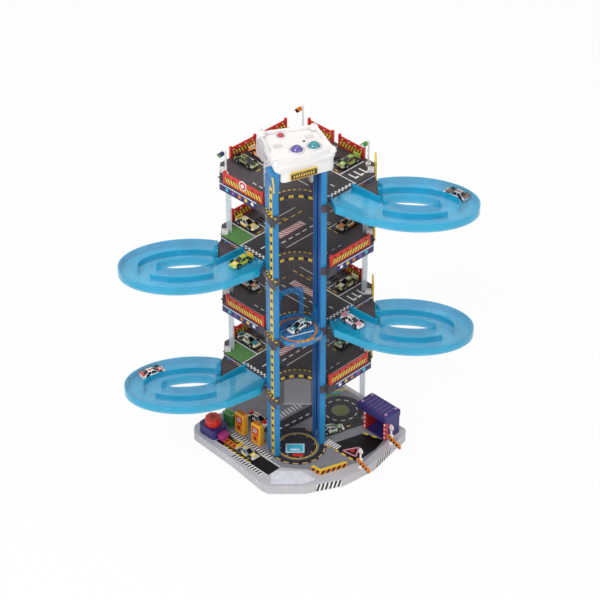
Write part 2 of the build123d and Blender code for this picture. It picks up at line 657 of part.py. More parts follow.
def pulley(z):
    wheel = cross_rod(PULLEY_RADIUS, BELT_WIDTH + 1, COLUMN_X, COLUMN_Y, z)
    wheel -= cross_rod(AXLE_RADIUS + RUNNING, COLUMN_WIDTH, COLUMN_X, COLUMN_Y, z)
    return wheel


def drive_pulley():
    return on_lift(pulley(PULLEY_TOP))


def idler_pulley():
    return on_lift(pulley(PULLEY_LOW))


def idler_axle():
    return on_lift(cross_rod(AXLE_RADIUS, COLUMN_WIDTH, COLUMN_X, COLUMN_Y, PULLEY_LOW))


def lift_belt():
    low, high = PULLEY_LOW, PULLEY_TOP
    gap = 0.1
    outer = Plane.YZ * (Pos(COLUMN_Y, (low + high) / 2) * Rot(0, 0, 90) * SlotCenterToCenter(
        high - low, 2 * (PULLEY_RADIUS + gap + BELT_THICK)))
    inner = Plane.YZ * (Pos(COLUMN_Y, (low + high) / 2) * Rot(0, 0, 90) * SlotCenterToCenter(
        high - low, 2 * (PULLEY_RADIUS + gap)))
    return on_lift(Pos(BELT_X - BELT_WIDTH / 2, 0, 0) * extrude(outer - inner, BELT_WIDTH))


def gear_motor():
    box_x = COLUMN_X - 18
    shaft = cross_rod(AXLE_RADIUS, 20, COLUMN_X - 5, COLUMN_Y, PULLEY_TOP)
    gearbox = Pos(box_x, COLUMN_Y, PULLEY_TOP) * Box(16, 22, 20)
    can = cross_rod(MOTOR_RADIUS, MOTOR_LENGTH, box_x - 8 - MOTOR_LENGTH / 2, COLUMN_Y, PULLEY_TOP)
    return on_lift(shaft + gearbox + can)


save("column_left", column(-1))
save("column_right", column(1))
save("lift_carriage", carriage())
save("drive_pulley", drive_pulley())
save("idler_pulley", idler_pulley())
save("idler_axle", idler_axle())
save("lift_belt", lift_belt())
save("gear_motor", gear_motor())

# ---------------------------------------------------------------- control house
HOUSE_CORNERS = [(-45.0, -20.0), (62.0, -12.0), (62.0, 72.0), (-32.0, 86.0)]
HOUSE_HEIGHT = 30.0
HOUSE_WALL = 2.5
HOUSE_LEGS = [(-22.0, 70.0), (50.0, 60.0)]
CONSOLE_CORNERS = [(-41.5, -16.5), (59.0, -9.0), (59.0, 26.0), (-36.0, 24.0)]
CONSOLE_RISE = 8.0
DOOR_WIDTH = 44.0
DOOR_HEIGHT = 14.0
DOME_RADIUS = 9.5
DOME_TRAVEL = 3.0
DOME_SKIRT = 5.0
DOME_WIRE = 0.6
DOME_TURNS = 3
DOME_SPRING_RADIUS = 6.0
BOARD = 1.6                  # circuit board under the buttons
DOMES = [(2.0, 7.0), (31.0, 7.0)]
LEG = 9.0
LIGHT_AT = (0.0, 68.0)
HOUSE_LOW = COLUMN_TOP
HOUSE_TOP = HOUSE_LOW + HOUSE_HEIGHT


def edge_y(first, second, x):
    """How far back the line through two corners is at x."""
    return first[1] + (second[1] - first[1]) * (x - first[0]) / (second[0] - first[0])


def edge_turn(first, second):
    return degrees(atan((second[1] - first[1]) / (second[0] - first[0])))


HOUSE_FRONT_TURN = edge_turn(HOUSE_CORNERS[0], HOUSE_CORNERS[1])
HOUSE_REAR_TURN = edge_turn(HOUSE_CORNERS[2], HOUSE_CORNERS[3])
DOOR_Y = edge_y(HOUSE_CORNERS[2], HOUSE_CORNERS[3], 0)


def house_block(inset, height):
    outline = make_face(Polyline(*HOUSE_CORNERS, close=True))
    if inset > 0:
        outline = offset(outline, -inset, kind=Kind.INTERSECTION)
    return Pos(0, 0, HOUSE_LOW) * extrude(outline, height)


def at_door(shape):
    return Pos(0, DOOR_Y, HOUSE_LOW) * Rot(0, 0, HOUSE_REAR_TURN) * shape


def house_shell():
    body = house_block(0, HOUSE_HEIGHT)
    body = fillet(body.edges().filter_by(Axis.Z), 9)
    body = fillet(body.faces().sort_by(Axis.Z)[-1].edges(), 3)
    body -= house_block(HOUSE_WALL, HOUSE_HEIGHT - HOUSE_WALL)
    for x, y in HOUSE_LEGS:
        body += block(LEG, LEG, HOUSE_CLEAR + HOUSE_HEIGHT - HOUSE_WALL, x, y, TOP)
    pad_rear = COLUMN_WALL - COLUMN_FRONT
    for sign in (-1, 1):
        pad_front = edge_y(HOUSE_CORNERS[0], HOUSE_CORNERS[1], sign * COLUMN_X) + 1
        body += block(COLUMN_WIDTH - 4, pad_rear - pad_front, HOUSE_HEIGHT - HOUSE_WALL,
                      sign * COLUMN_X + 2, (pad_front + pad_rear) / 2, HOUSE_LOW)
    for x, y in DOMES:
        body -= rod(DOME_RADIUS + FIT, HOUSE_WALL + 2, x, y, HOUSE_TOP - HOUSE_WALL - 1)
    x, y = LIGHT_AT
    body -= rod(5, HOUSE_WALL + 2, x, y, HOUSE_TOP - HOUSE_WALL - 1)
    body -= at_door(block(DOOR_WIDTH, HOUSE_WALL + 8, DOOR_HEIGHT, 0, 0, 6))
    return on_lift(body)


def house_console():
    plate = slab(CONSOLE_CORNERS, CONSOLE_RISE, HOUSE_TOP)
    plate = fillet(plate.edges().filter_by(Axis.Z), 8)
    plate = fillet(plate.faces().sort_by(Axis.Z)[-1].edges(), 2.5)
    for x, y in DOMES:
        plate -= rod(DOME_RADIUS + FIT, CONSOLE_RISE, x, y, HOUSE_TOP)
    return on_lift(plate)


def dome(x, y):
    cap_low = HOUSE_TOP + CONSOLE_RISE - 1
    cap = rod(DOME_RADIUS, DOME_SKIRT, x, y, cap_low - DOME_SKIRT)
    crown = Pos(x, y, cap_low) * (Sphere(DOME_RADIUS) & Box(40, 40, 40, align=LOW))
    return on_lift(cap + crown)


def dome_spring(x, y):
    low = HOUSE_TOP - HOUSE_WALL + DOME_WIRE / 2
    height = CONSOLE_RISE - 1 - DOME_SKIRT + HOUSE_WALL - DOME_WIRE
    path = Helix(pitch=height / DOME_TURNS, height=height, radius=DOME_SPRING_RADIUS)
    profile = Plane(origin=path @ 0, z_dir=path % 0) * Circle(DOME_WIRE / 2)
    return on_lift(Pos(x, y, low) * sweep(profile, path=path))


def button_board():
    middle = (DOMES[0][0] + DOMES[1][0]) / 2
    return on_lift(block(60, 26, BOARD, middle, DOMES[0][1], HOUSE_TOP - HOUSE_WALL - BOARD))


def roof_light():
    x, y = LIGHT_AT
    lens = rod(5 - RUNNING, HOUSE_WALL, x, y, HOUSE_TOP - HOUSE_WALL)
    lens += Pos(x, y, HOUSE_TOP) * (Sphere(4.5) & Box(20, 20, 20, align=LOW))
    return on_lift(lens)


def sign_plate():
    x = 4
    y = edge_y(HOUSE_CORNERS[0], HOUSE_CORNERS[1], x)
    plate = Pos(x, y, HOUSE_LOW) * Rot(0, 0, HOUSE_FRONT_TURN) * block(46, 2, 13, 0, -1, 2)
    return on_lift(plate)


def battery_door():
    door = block(DOOR_WIDTH - 2 * FIT, HOUSE_WALL, DOOR_HEIGHT - 2 * FIT, 0, -HOUSE_WALL / 2, 6 + FIT)
    for x in (-6, -2, 2, 6):
        door += block(1.5, 1, 8, x, 0.5, 9)
    return on_lift(at_door(door))


save("house_shell", house_shell())
save("house_console", house_console())
save("dome_button_left", dome(*DOMES[0]))
save("dome_button_right", dome(*DOMES[1]))
save("dome_spring_left", dome_spring(*DOMES[0]))
save("dome_spring_right", dome_spring(*DOMES[1]))
save("button_board", button_board())
save("roof_light", roof_light())
save("sign_plate", sign_plate())
save("battery_door", battery_door())

# ---------------------------------------------------------------- screws through the deck collars
SCREW_HEAD_HEIGHT = 1.6


def collar_screws():
    screws = []
    outer = COLUMN_X + COLUMN_WIDTH / 2 + COLLAR_WALL
    length = COLLAR_WALL + COLUMN_WALL
    for top in DECK_TOPS.values():
        z = top - DECK_PLATE - COLLAR_HEIGHT / 2
        for sign in (-1, 1):
            shank = cross_rod(SCREW_HOLE, length, sign * (outer - length / 2), COLUMN_Y, z)
            head = cross_rod(SCREW_HEAD, SCREW_HEAD_HEIGHT, sign * (outer + SCREW_HEAD_HEIGHT / 2), COLUMN_Y, z)
            slot = Pos(sign * (outer + SCREW_HEAD_HEIGHT), COLUMN_Y, z) * Box(1.0, 0.7, 4)
            screws.append(on_lift(shank + head - slot))
    return screws


save("collar_screws", *collar_screws())

# ---------------------------------------------------------------- corner flags on the top deck
FLAG_POST = 3.0
FLAG_HEIGHT = 46.0
FLAG_BOARD = (14.0, 1.6, 7.0)
FLAGS = [(-114.0, 92.0), (114.0, 122.0), (9.0, 229.0)]


def flag(x, y):
    post = block(FLAG_POST, FLAG_POST, FLAG_HEIGHT, x, y, TOP)
    foot = block(8, 8, 3, x, y, TOP)
    reach = FLAG_BOARD[0] / 2
    board = Pos(x, y, TOP + FLAG_HEIGHT - 3) * Rot(0, -35, 0) * Pos(-reach, 0, 0) * Box(*FLAG_BOARD)
    return post + foot + board


save("corner_flags", *[flag(x, y) for x, y in FLAGS])

# ---------------------------------------------------------------- cars
CAR_LENGTH = 43.0
CAR_WIDTH = 18.0
CAR_HEIGHT = 12.5
WHEEL_RADIUS = 4.2
WHEEL_WIDTH = 3.0
AXLE_SPAN = 24.0


def car(x, y, floor, heading):
    """A toy car nose along its heading, wheels on the floor."""
    low = WHEEL_RADIUS * 0.55
    belt_line = 7.2
    half = CAR_LENGTH / 2
    profile = Polyline(
        (-half, low), (half, low), (half, 4.6), (half - 3, 6.2), (half - 12, belt_line),
        (half - 18, CAR_HEIGHT), (-half + 12, CAR_HEIGHT), (-half + 4, belt_line + 0.8), (-half, belt_line),
        close=True)
    body = Pos(0, CAR_WIDTH / 2, 0) * extrude(Plane.XZ * make_face(profile), CAR_WIDTH)
    body = chamfer(body.edges().group_by(Axis.Z)[-1].filter_by(Axis.X), 2)
    wheels = []
    for place in (-AXLE_SPAN / 2, AXLE_SPAN / 2):
        body -= Pos(place, 0, WHEEL_RADIUS) * Rot(90, 0, 0) * Cylinder(WHEEL_RADIUS + 0.6, CAR_WIDTH + 2)
        axle = Pos(place, 0, WHEEL_RADIUS) * Rot(90, 0, 0)
        pair = axle * Cylinder(1.0, CAR_WIDTH - 1)
        for sign in (-1, 1):
            pair += axle * Pos(0, 0, sign * (CAR_WIDTH - WHEEL_WIDTH) / 2) * Cylinder(WHEEL_RADIUS, WHEEL_WIDTH)
        wheels.append(pair)
        tunnel = Pos(place, 0, WHEEL_RADIUS) * Box(2 * WHEEL_RADIUS + 1.2, CAR_WIDTH - 2 * WHEEL_WIDTH - 1, 2 * WHEEL_RADIUS)
        bearing = tunnel - Pos(place, 0, WHEEL_RADIUS) * Rot(90, 0, 0) * Cylinder(1.0 + RUNNING, CAR_WIDTH)
        body += bearing & Pos(place, 0, low) * Box(3 * WHEEL_RADIUS, CAR_WIDTH, 2 * WHEEL_RADIUS, align=LOW)
    place_car = Pos(x, y, floor) * Rot(0, 0, heading)
    return [place_car * body] + [place_car * pair for pair in wheels]


def bay_car(level, sign, along, out, nose_in=True):
    """A parked car, by its bay's place on one wing."""
    x, y = uv(along, out)
    heading = 225 if sign > 0 else -45
    return car(sign * x, y, DECK_TOPS[level], heading if nose_in else heading + 180)


def lane_car(level):
    """A car that leaves its deck for the loop."""
    sign = EXIT_SIDE[level]
    x, y = uv((MOUTH_NEAR + MOUTH_FAR) / 2 + 4, EXIT_EDGE + 26)
    return car(sign * x, y, DECK_TOPS[level] - LOOP_DROP + LOOP_FLOOR, -45 if sign > 0 else 225)


def loop_car(level, angle):
    """A car on the outer lane, at an angle round the loop's centre."""
    sign = EXIT_SIDE[level]
    arc = loop_arc(LOOP_WALL + LANE / 2, angle, angle + 10)
    place = arc @ 0
    way = arc % 0
    heading = degrees(atan2(way.Y, way.X))
    if sign < 0:
        heading = 180 - heading
    return car(sign * place.X, place.Y, DECK_TOPS[level] - LOOP_DROP + LOOP_FLOOR, heading)


BAY_ALONG = 146.0
BAY_A = -30.0
BAY_B = -62.0
LAUNCH_CAR = lane_point(64)
save("cars_deck_5", bay_car(5, -1, BAY_ALONG, BAY_A), bay_car(5, -1, BAY_ALONG, BAY_B), bay_car(5, 1, BAY_ALONG, BAY_A))
save("cars_deck_4", bay_car(4, -1, BAY_ALONG, BAY_A), bay_car(4, 1, BAY_ALONG, BAY_A))
save("cars_deck_3", bay_car(3, -1, BAY_ALONG, BAY_A), bay_car(3, 1, BAY_ALONG, BAY_A))
save("cars_deck_2", bay_car(2, -1, BAY_ALONG, BAY_A), bay_car(2, 1, BAY_ALONG, BAY_A))
save("cars_leaving", lane_car(4), lane_car(3))
save("cars_on_loops", loop_car(5, 42), loop_car(2, 50))
save("cars_base", car(-66, 66, BASE_TOP, -45), car(58, 40, BASE_TOP, 20))
save("car_in_lift", on_lift(Compound(children=car(4, 2, CARRIAGE_LEVEL, 200))))
save("car_on_launcher", car(*LAUNCH_CAR, BASE_TOP - LANE_DEPTH + FIT, -45))
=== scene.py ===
import math
import random
import bpy
from mathutils import Matrix, Vector


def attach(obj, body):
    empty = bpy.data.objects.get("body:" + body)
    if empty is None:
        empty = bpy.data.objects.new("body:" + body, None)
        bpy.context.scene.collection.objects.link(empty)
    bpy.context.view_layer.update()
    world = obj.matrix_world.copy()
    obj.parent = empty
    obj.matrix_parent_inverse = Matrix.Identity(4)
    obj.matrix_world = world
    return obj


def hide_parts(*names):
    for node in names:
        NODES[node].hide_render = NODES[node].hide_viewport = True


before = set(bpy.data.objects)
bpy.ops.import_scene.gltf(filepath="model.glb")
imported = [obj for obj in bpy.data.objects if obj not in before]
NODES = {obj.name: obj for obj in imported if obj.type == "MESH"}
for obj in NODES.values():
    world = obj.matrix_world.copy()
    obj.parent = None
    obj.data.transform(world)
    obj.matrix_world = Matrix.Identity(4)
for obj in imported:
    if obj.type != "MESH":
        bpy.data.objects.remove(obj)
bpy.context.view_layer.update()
random.seed(11)

# ------------------------------------------------------------------ sizes in mm, as the solids have them
MM = 0.001
UP = (0, 0, 1)
MIRROR = Matrix.Diagonal((-1, 1, 1, 1))
S = math.sqrt(0.5)            # the decks' sides run at 45 degrees
TOPS = {2: 145.0, 3: 265.0, 4: 385.0, 5: 505.0}
EXIT = {2: -1, 3: 1, 4: -1, 5: 1}      # the side of each deck's loop: 1 right, -1 left
BASE_TOP = 20.0
LIFT_TURN = 22.5              # the lift, its columns and the control house, about Z
SIDE_CUT = 124.0              # the decks' cut corners
REAR = 178.0                  # the decks' rear edges, in u
NOTCH, WING = 20.0, 35.0      # the front edges, in v: beside the loop's lane, and on the fenced side
FENCE_THICK = 2.5
LOOP_CENTRE = (180.0, 9.0)
LOOP_AXES = (107.0, 68.5)
LOOP_TILT = -6.0
LANE_Z = -6.0                 # a loop's floor below its deck's
LANE_INSET = 16.0             # the outer lane's middle, in from the loop's edge
SHAFT_RIM = 46.0
COLUMN_FOOT, COLUMN_HEAD = 24, 564
HOUSE = [(-45.0, -20.0), (62.0, -12.0), (62.0, 72.0), (-32.0, 86.0)]
HOUSE_LEGS = ((-22.0, 70.0), (50.0, 60.0))
HOUSE_LOW, HOUSE_TOP = 567.0, 597.0
BUTTONS = ((2, 7), (31, 7))
FLAG_Z = 548.0
PUMPS = ((-95.0, 38.0), (-67.0, 9.0))
HEDGE = (-116, 60)
GARAGE = (138, 48)
BARRIERS = {"right": (158, 7), "front": (105, -55)}
BARRIER_TURN = -58
BASE_TURN = 45                # the pumps, the hedge and the garage
LANE_START = Vector((-129.0, 25.0))    # the launcher's lane
LANE_TURN = -45

# prints lie a little apart, so that none shares a face with what is under it
INK = 0.25                    # a print's thickness
GAP = 0.05                    # its underside over its floor
OVER = 0.3                    # over another print
MARK, MARK_TOP = 0.35, 0.6    # over two others
ON_SIGN = 0.2                 # over a sign's ground

# ------------------------------------------------------------------ materials
SCREEN_GAMMA = 2.2
GRAIN_SCALE, GRAIN_DEPTH = 1400.0, 0.0002
MATS = {}


def material(name, colour, rough=0.35, bump=0.04, scale=60.0, vary=0.06, **extra):
    """Moulded plastic or print: a base colour with fine mottling, wear in the roughness and a faint grain."""
    if name in MATS:
        return MATS[name]
    mat = bpy.data.materials.new(name)
    mat.use_nodes = True
    nodes, links = mat.node_tree.nodes, mat.node_tree.links
    shader = nodes["Principled BSDF"]
    coordinates = nodes.new("ShaderNodeTexCoord")
    noise = nodes.new("ShaderNodeTexNoise")
    noise.inputs["Scale"].default_value = scale
    noise.inputs["Detail"].default_value = 4.0
    links.new(coordinates.outputs["Object"], noise.inputs["Vector"])
    ramp = nodes.new("ShaderNodeValToRGB")
    dark = [c * (1 - vary) for c in colour]
    light = [min(1.0, c * (1 + vary) + vary * 0.04) for c in colour]
    for stop, position, shade in zip(ramp.color_ramp.elements, (0.3, 0.7), (dark, light)):
        stop.position = position
        stop.color = (*shade, 1)
    links.new(noise.outputs["Fac"], ramp.inputs["Fac"])
    links.new(ramp.outputs["Color"], shader.inputs["Base Color"])
    wear = nodes.new("ShaderNodeMapRange")
    wear.inputs["To Min"].default_value = max(0.05, rough - 0.07)
    wear.inputs["To Max"].default_value = min(1.0, rough + 0.09)
    links.new(noise.outputs["Fac"], wear.inputs["Value"])
    links.new(wear.outputs["Result"], shader.inputs["Roughness"])
    grain = nodes.new("ShaderNodeTexNoise")
    grain.inputs["Scale"].default_value = GRAIN_SCALE
    links.new(coordinates.outputs["Object"], grain.inputs["Vector"])
    relief = nodes.new("ShaderNodeBump")
    relief.inputs["Strength"].default_value = bump
    relief.inputs["Distance"].default_value = GRAIN_DEPTH
    links.new(grain.outputs["Fac"], relief.inputs["Height"])
    links.new(relief.outputs["Normal"], shader.inputs["Normal"])
    for socket, value in extra.items():
        shader.inputs[socket.replace("_", " ")].default_value = value
    if extra.get("Alpha", 1.0) < 1.0:
        mat.surface_render_method = "BLENDED"
    MATS[name] = mat
    return mat


def linear(r, g, b):
    """From the colour as seen on screen (0 to 255) to the shader's."""
    return tuple((c / 255.0) ** SCREEN_GAMMA for c in (r, g, b))


PAINTS = {
    "white": (238, 235, 232), "cream": (238, 228, 190), "yellow": (240, 198, 60), "orange": (228, 128, 40),
    "red": (205, 52, 40), "green": (88, 160, 62), "lawn": (84, 140, 66), "olive": (132, 138, 84),
    "black": (22, 20, 22), "asphalt": (62, 56, 60), "road": (50, 46, 52), "grey": (150, 146, 152),
    "navy": (48, 42, 98), "cyan": (70, 190, 215), "teal": (40, 140, 150), "purple": (140, 90, 170),
    "mauve": (150, 110, 170), "pink": (225, 150, 165), "tan": (196, 160, 104), "brown": (120, 78, 48),
    "silver": (182, 184, 188), "beige": (224, 196, 150), "lime": (160, 200, 70), "dark_red": (150, 34, 30),
    "sky": (190, 225, 238), "concrete": (136, 132, 138), "pale": (224, 222, 228),
}


def paint(key):
    return material("print_" + key, linear(*PAINTS[key]), rough=0.38, bump=0.03, scale=90.0, vary=0.08)


def car_paint(key):
    return material("lacquer_" + key, linear(*PAINTS[key]), rough=0.22, bump=0.01, scale=140.0, vary=0.05,
                    Coat_Weight=0.6, Coat_Roughness=0.08)


GLASS = material("car_glass", linear(26, 28, 34), rough=0.1, bump=0.01, scale=200.0, Coat_Weight=0.8)
TYRE = material("tyre", linear(24, 24, 25), rough=0.7, bump=0.3, scale=600.0)
HUB = material("hub", linear(190, 192, 196), rough=0.25, bump=0.02, Metallic=0.7)
WHITE_PLASTIC = material("white_plastic", linear(236, 233, 231), rough=0.32, bump=0.05, scale=30.0, vary=0.03)
WHITE_SHADE = material("white_shade", linear(205, 200, 202), rough=0.4, bump=0.05, scale=30.0, vary=0.05)
CLEAR = material("clear_plastic", linear(222, 230, 236), rough=0.12, bump=0.02, scale=40.0, vary=0.03,
                 Alpha=0.5, Coat_Weight=0.5)
LOOP_BLUE = material("loop_blue", linear(6, 172, 214), rough=0.14, bump=0.03, scale=24.0, vary=0.1,
                     Alpha=0.68, Coat_Weight=0.6, Coat_Roughness=0.06)
LIFT_BLUE = material("lift_blue", linear(30, 140, 205), rough=0.14, bump=0.03, scale=40.0, vary=0.08,
                     Alpha=0.5, Coat_Weight=0.6)
COLUMN_BLUE = material("column_blue", linear(32, 126, 182), rough=0.3, bump=0.05, scale=25.0, vary=0.08)
INNER_BLUE = material("column_inner", linear(48, 84, 160), rough=0.35, bump=0.05, scale=25.0, vary=0.1)
DECK = material("deck_plastic", linear(74, 66, 70), rough=0.45, bump=0.12, scale=80.0, vary=0.14)
BASE = material("base_plastic", linear(192, 188, 192), rough=0.35, bump=0.08, scale=40.0, vary=0.05)
FENCE = material("fence_plastic", linear(206, 56, 42), rough=0.33, bump=0.05, scale=70.0, vary=0.1)
NAVY = material("navy_plastic", linear(54, 46, 108), rough=0.35, bump=0.06, scale=60.0, vary=0.1)
RUBBER = material("rubber", linear(30, 30, 32), rough=0.85, bump=0.3, scale=400.0)
STEEL = material("steel", linear(176, 176, 180), rough=0.28, bump=0.05, scale=300.0, Metallic=0.9)
BOARD = material("board", linear(30, 92, 52), rough=0.4, bump=0.05, scale=200.0, vary=0.12)
LEAF = material("leaf", linear(150, 190, 110), rough=0.7, bump=0.5, scale=300.0, vary=0.3)

NODE_LOOKS = {
    "base_tray": BASE, "base_feet": RUBBER, "turntable_disc": paint("road"), "launcher_housing": NAVY,
    "launch_button": material("button_red", linear(222, 50, 40), rough=0.25, bump=0.04, scale=60.0),
    "launch_spring": STEEL, "launch_pusher": material("pusher", linear(190, 60, 130), rough=0.3),
    "fuel_pumps": material("pump_yellow", linear(248, 178, 48), rough=0.3, scale=60.0),
    "hedge": material("hedge_green", linear(52, 128, 62), rough=0.7, bump=0.9, scale=350.0, vary=0.35),
    "garage_roof": NAVY, "garage_frame": NAVY, "garage_red_wall": FENCE, "barrier_posts": WHITE_PLASTIC,
    "barrier_arm_right": paint("orange"), "barrier_arm_front": paint("orange"), "road_block": paint("yellow"),
    "rear_ramp": BASE, "corner_posts": CLEAR, "corner_stripe_panels": paint("yellow"),
    "column_left": COLUMN_BLUE, "column_right": COLUMN_BLUE, "lift_carriage": LIFT_BLUE,
    "drive_pulley": WHITE_SHADE, "idler_pulley": WHITE_SHADE, "idler_axle": STEEL, "lift_belt": RUBBER,
    "gear_motor": STEEL, "house_shell": WHITE_PLASTIC, "house_console": WHITE_PLASTIC,
    "dome_button_left": material("dome_purple", linear(98, 84, 160), rough=0.12, scale=120.0, vary=0.18,
                                 Coat_Weight=0.8),
    "dome_button_right": material("dome_teal", linear(52, 138, 148), rough=0.12, scale=120.0, vary=0.18,
                                  Coat_Weight=0.8),
    "dome_spring_left": STEEL, "dome_spring_right": STEEL, "button_board": BOARD,
    "roof_light": material("light_red", linear(196, 44, 60), rough=0.15, Coat_Weight=0.8),
    "sign_plate": paint("yellow"), "battery_door": WHITE_SHADE, "collar_screws": STEEL,
    "corner_flags": WHITE_PLASTIC,
}
for level in TOPS:
    NODE_LOOKS[f"deck_{level}"] = DECK
    NODE_LOOKS[f"fences_{level}"] = FENCE
for name in ("loop_right_upper", "loop_left_upper", "loop_right_lower", "loop_left_lower"):
    NODE_LOOKS[name] = LOOP_BLUE
for name, obj in NODES.items():
    for holder in obj.material_slots:
        holder.material = NODE_LOOKS.get(name, DECK)    # the cars are replaced below

WHITE, YELLOW, BLACK, ROAD, RED = (paint(key) for key in ("white", "yellow", "black", "road", "red"))
ORANGE, DARK_RED = paint("orange"), paint("dark_red")
WARNING = (YELLOW, BLACK)


# ------------------------------------------------------------------ mesh helpers
WELD = 0.000001
BEVEL_ANGLE = math.radians(35)


class Build:
    """Gathers faces of several materials into one piece."""

    def __init__(self, name):
        self.name = name
        self.verts = []
        self.faces = []
        self.slots = []
        self.which = []

    def add(self, verts, faces, mat, at=None):
        start = len(self.verts)
        self.verts += [(at @ Vector(v) if at is not None else Vector(v)) * MM for v in verts]
        if mat not in self.slots:
            self.slots.append(mat)
        index = self.slots.index(mat)
        flip = at is not None and at.determinant() < 0
        for face in faces:
            order = [start + i for i in face]
            self.faces.append(order[::-1] if flip else order)
            self.which.append(index)

    def plate(self, points, mat, at=None, low=0.0, thick=INK):
        """A flat plate from its outline, which may run either way round."""
        n = len(points)
        following = points[1:] + points[:1]
        if sum(x0 * y1 - x1 * y0 for (x0, y0), (x1, y1) in zip(points, following)) < 0:
            points = points[::-1]
        verts = [(x, y, low) for x, y in points] + [(x, y, low + thick) for x, y in points]
        faces = [list(range(n))[::-1], list(range(n, 2 * n))]
        faces += [[i, (i + 1) % n, n + (i + 1) % n, n + i] for i in range(n)]
        self.add(verts, faces, mat, at)

    def patch(self, x0, x1, y0, y1, mat, at=None, low=0.0, thick=INK):
        """A rectangular plate, as thick as a print."""
        self.plate([(x0, y0), (x1, y0), (x1, y1), (x0, y1)], mat, at, low, thick)

    def box(self, x0, x1, y0, y1, z0, z1, mat, at=None):
        self.patch(x0, x1, y0, y1, mat, at, z0, z1 - z0)

    def loft(self, rings, mat, at=None, close=True):
        """A skin through rings of the same number of points, with its ends filled."""
        n = len(rings[0])
        verts = [p for ring in rings for p in ring]
        faces = []
        for k in range(len(rings) - 1):
            for i in range(n):
                j = (i + 1) % n
                faces.append([k * n + i, k * n + j, (k + 1) * n + j, (k + 1) * n + i])
        if close:
            faces.append(list(range(n))[::-1])
            faces.append([(len(rings) - 1) * n + i for i in range(n)])
        self.add(verts, faces, mat, at)

    def disc(self, radius, low, high, mat, at=None, sides=24, inner=0.0, start=0.0, sweep=360.0):
        """A disc, a ring or a part of one, its axis along Z."""
        if inner <= 0:
            points = [(radius * math.cos(math.tau * i / sides), radius * math.sin(math.tau * i / sides))
                      for i in range(sides)]
            self.plate(points, mat, at, low, high - low)
            return
        steps = max(3, int(sides * sweep / 360))
        rings = []
        for i in range(steps + 1):
            a = math.radians(start + sweep * i / steps)
            c, s = math.cos(a), math.sin(a)
            rings.append([(radius * c, radius * s, low), (radius * c, radius * s, high),
                          (inner * c, inner * s, high), (inner * c, inner * s, low)])
        if sweep >= 360:
            rings[-1] = rings[0]
        self.loft(rings, mat, at, close=sweep < 360)

    def done(self, body, slot, replaces=(), smooth=None, bevel=0.0):
        mesh = bpy.data.meshes.new(self.name)
        mesh.from_pydata([tuple(v) for v in self.verts], [], self.faces)
        for mat in self.slots:
            mesh.materials.append(mat)
        for poly, index in zip(mesh.polygons, self.which):
            poly.material_index = index
        obj = bpy.data.objects.new(self.name, mesh)
        bpy.context.scene.collection.objects.link(obj)
        merge = obj.modifiers.new("merge", "WELD")
        merge.merge_threshold = WELD
        if bevel:
            mod = obj.modifiers.new("bevel", "BEVEL")
            mod.width = bevel * MM
            mod.segments = 2
            mod.limit_method = "ANGLE"
            mod.angle_limit = BEVEL_ANGLE
        if smooth is not None:
            for poly in mesh.polygons:
                poly.use_smooth = True
            mesh.set_sharp_from_angle(angle=math.radians(smooth))
        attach(obj, body)
        if replaces:
            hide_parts(*replaces)


def turned(degrees, axis):
    return Matrix.Rotation(math.radians(degrees), 4, axis)


def flipped(at, mirror):
    return MIRROR @ at if mirror < 0 else at


def place(x, y, z, turn=0.0, mirror=1):
    """From a flat frame to its place: the turn is in degrees about Z, mirror -1 flips left and right."""
    return flipped(Matrix.Translation((x, y, z)) @ turned(turn, "Z"), mirror)


def wall(origin, along, mirror=1):
    """A frame on an upright wall: X along it, Y up it, Z out of it."""
    x = Vector(along).normalized()
    y = Vector(UP)
    z = x.cross(y)
    rows = [(x[i], y[i], z[i], origin[i]) for i in range(3)]
    return flipped(Matrix((*rows, (0, 0, 0, 1))), mirror)


def uv(u, v):
    """From a deck's own axes, u to the rear right and v to the front right, to x and y."""
    return ((u + v) * S, (u - v) * S)


def uv_quad(u0, u1, v0, v1):
    return [uv(u0, v0), uv(u1, v0), uv(u1, v1), uv(u0, v1)]


def stripes(build, x0, x1, y0, y1, count, lean, mats, at, low=GAP):
    """Slanted bands across a rectangle, cut off at its ends; the two colours take turns."""
    width = (x1 - x0) / count
    build.patch(x0, x1, y0, y1, mats[0], at, low)
    for i in range(-2, count + 3, 2):
        a = x0 + i * width
        b0, b1, t0, t1 = (max(x0, min(x1, x)) for x in (a, a + width, a + lean, a + lean + width))
        if b1 - b0 >= 0.2 or t1 - t0 >= 0.2:
            build.plate([(b0, y0), (b1 + 0.01, y0), (t1 + 0.01, y1), (t0, y1)], mats[1], at, low + INK * 0.6)


def dashes(build, start, end, width, length, gap, mat, z, mirror=1):
    """A broken line on a floor."""
    d = Vector((end[0] - start[0], end[1] - start[1]))
    total = d.length
    turn = math.degrees(math.atan2(d.y, d.x))
    run = 0.0
    while run + length <= total + 0.01:
        x = start[0] + d.x * (run + length / 2) / total
        y = start[1] + d.y * (run + length / 2) / total
        build.patch(-length / 2, length / 2, -width / 2, width / 2, mat, place(x, y, z, turn, mirror))
        run += length + gap


def line(build, start, end, width, mat, z, mirror=1):
    d = Vector((end[0] - start[0], end[1] - start[1]))
    dashes(build, start, end, width, d.length, 1.0, mat, z, mirror)


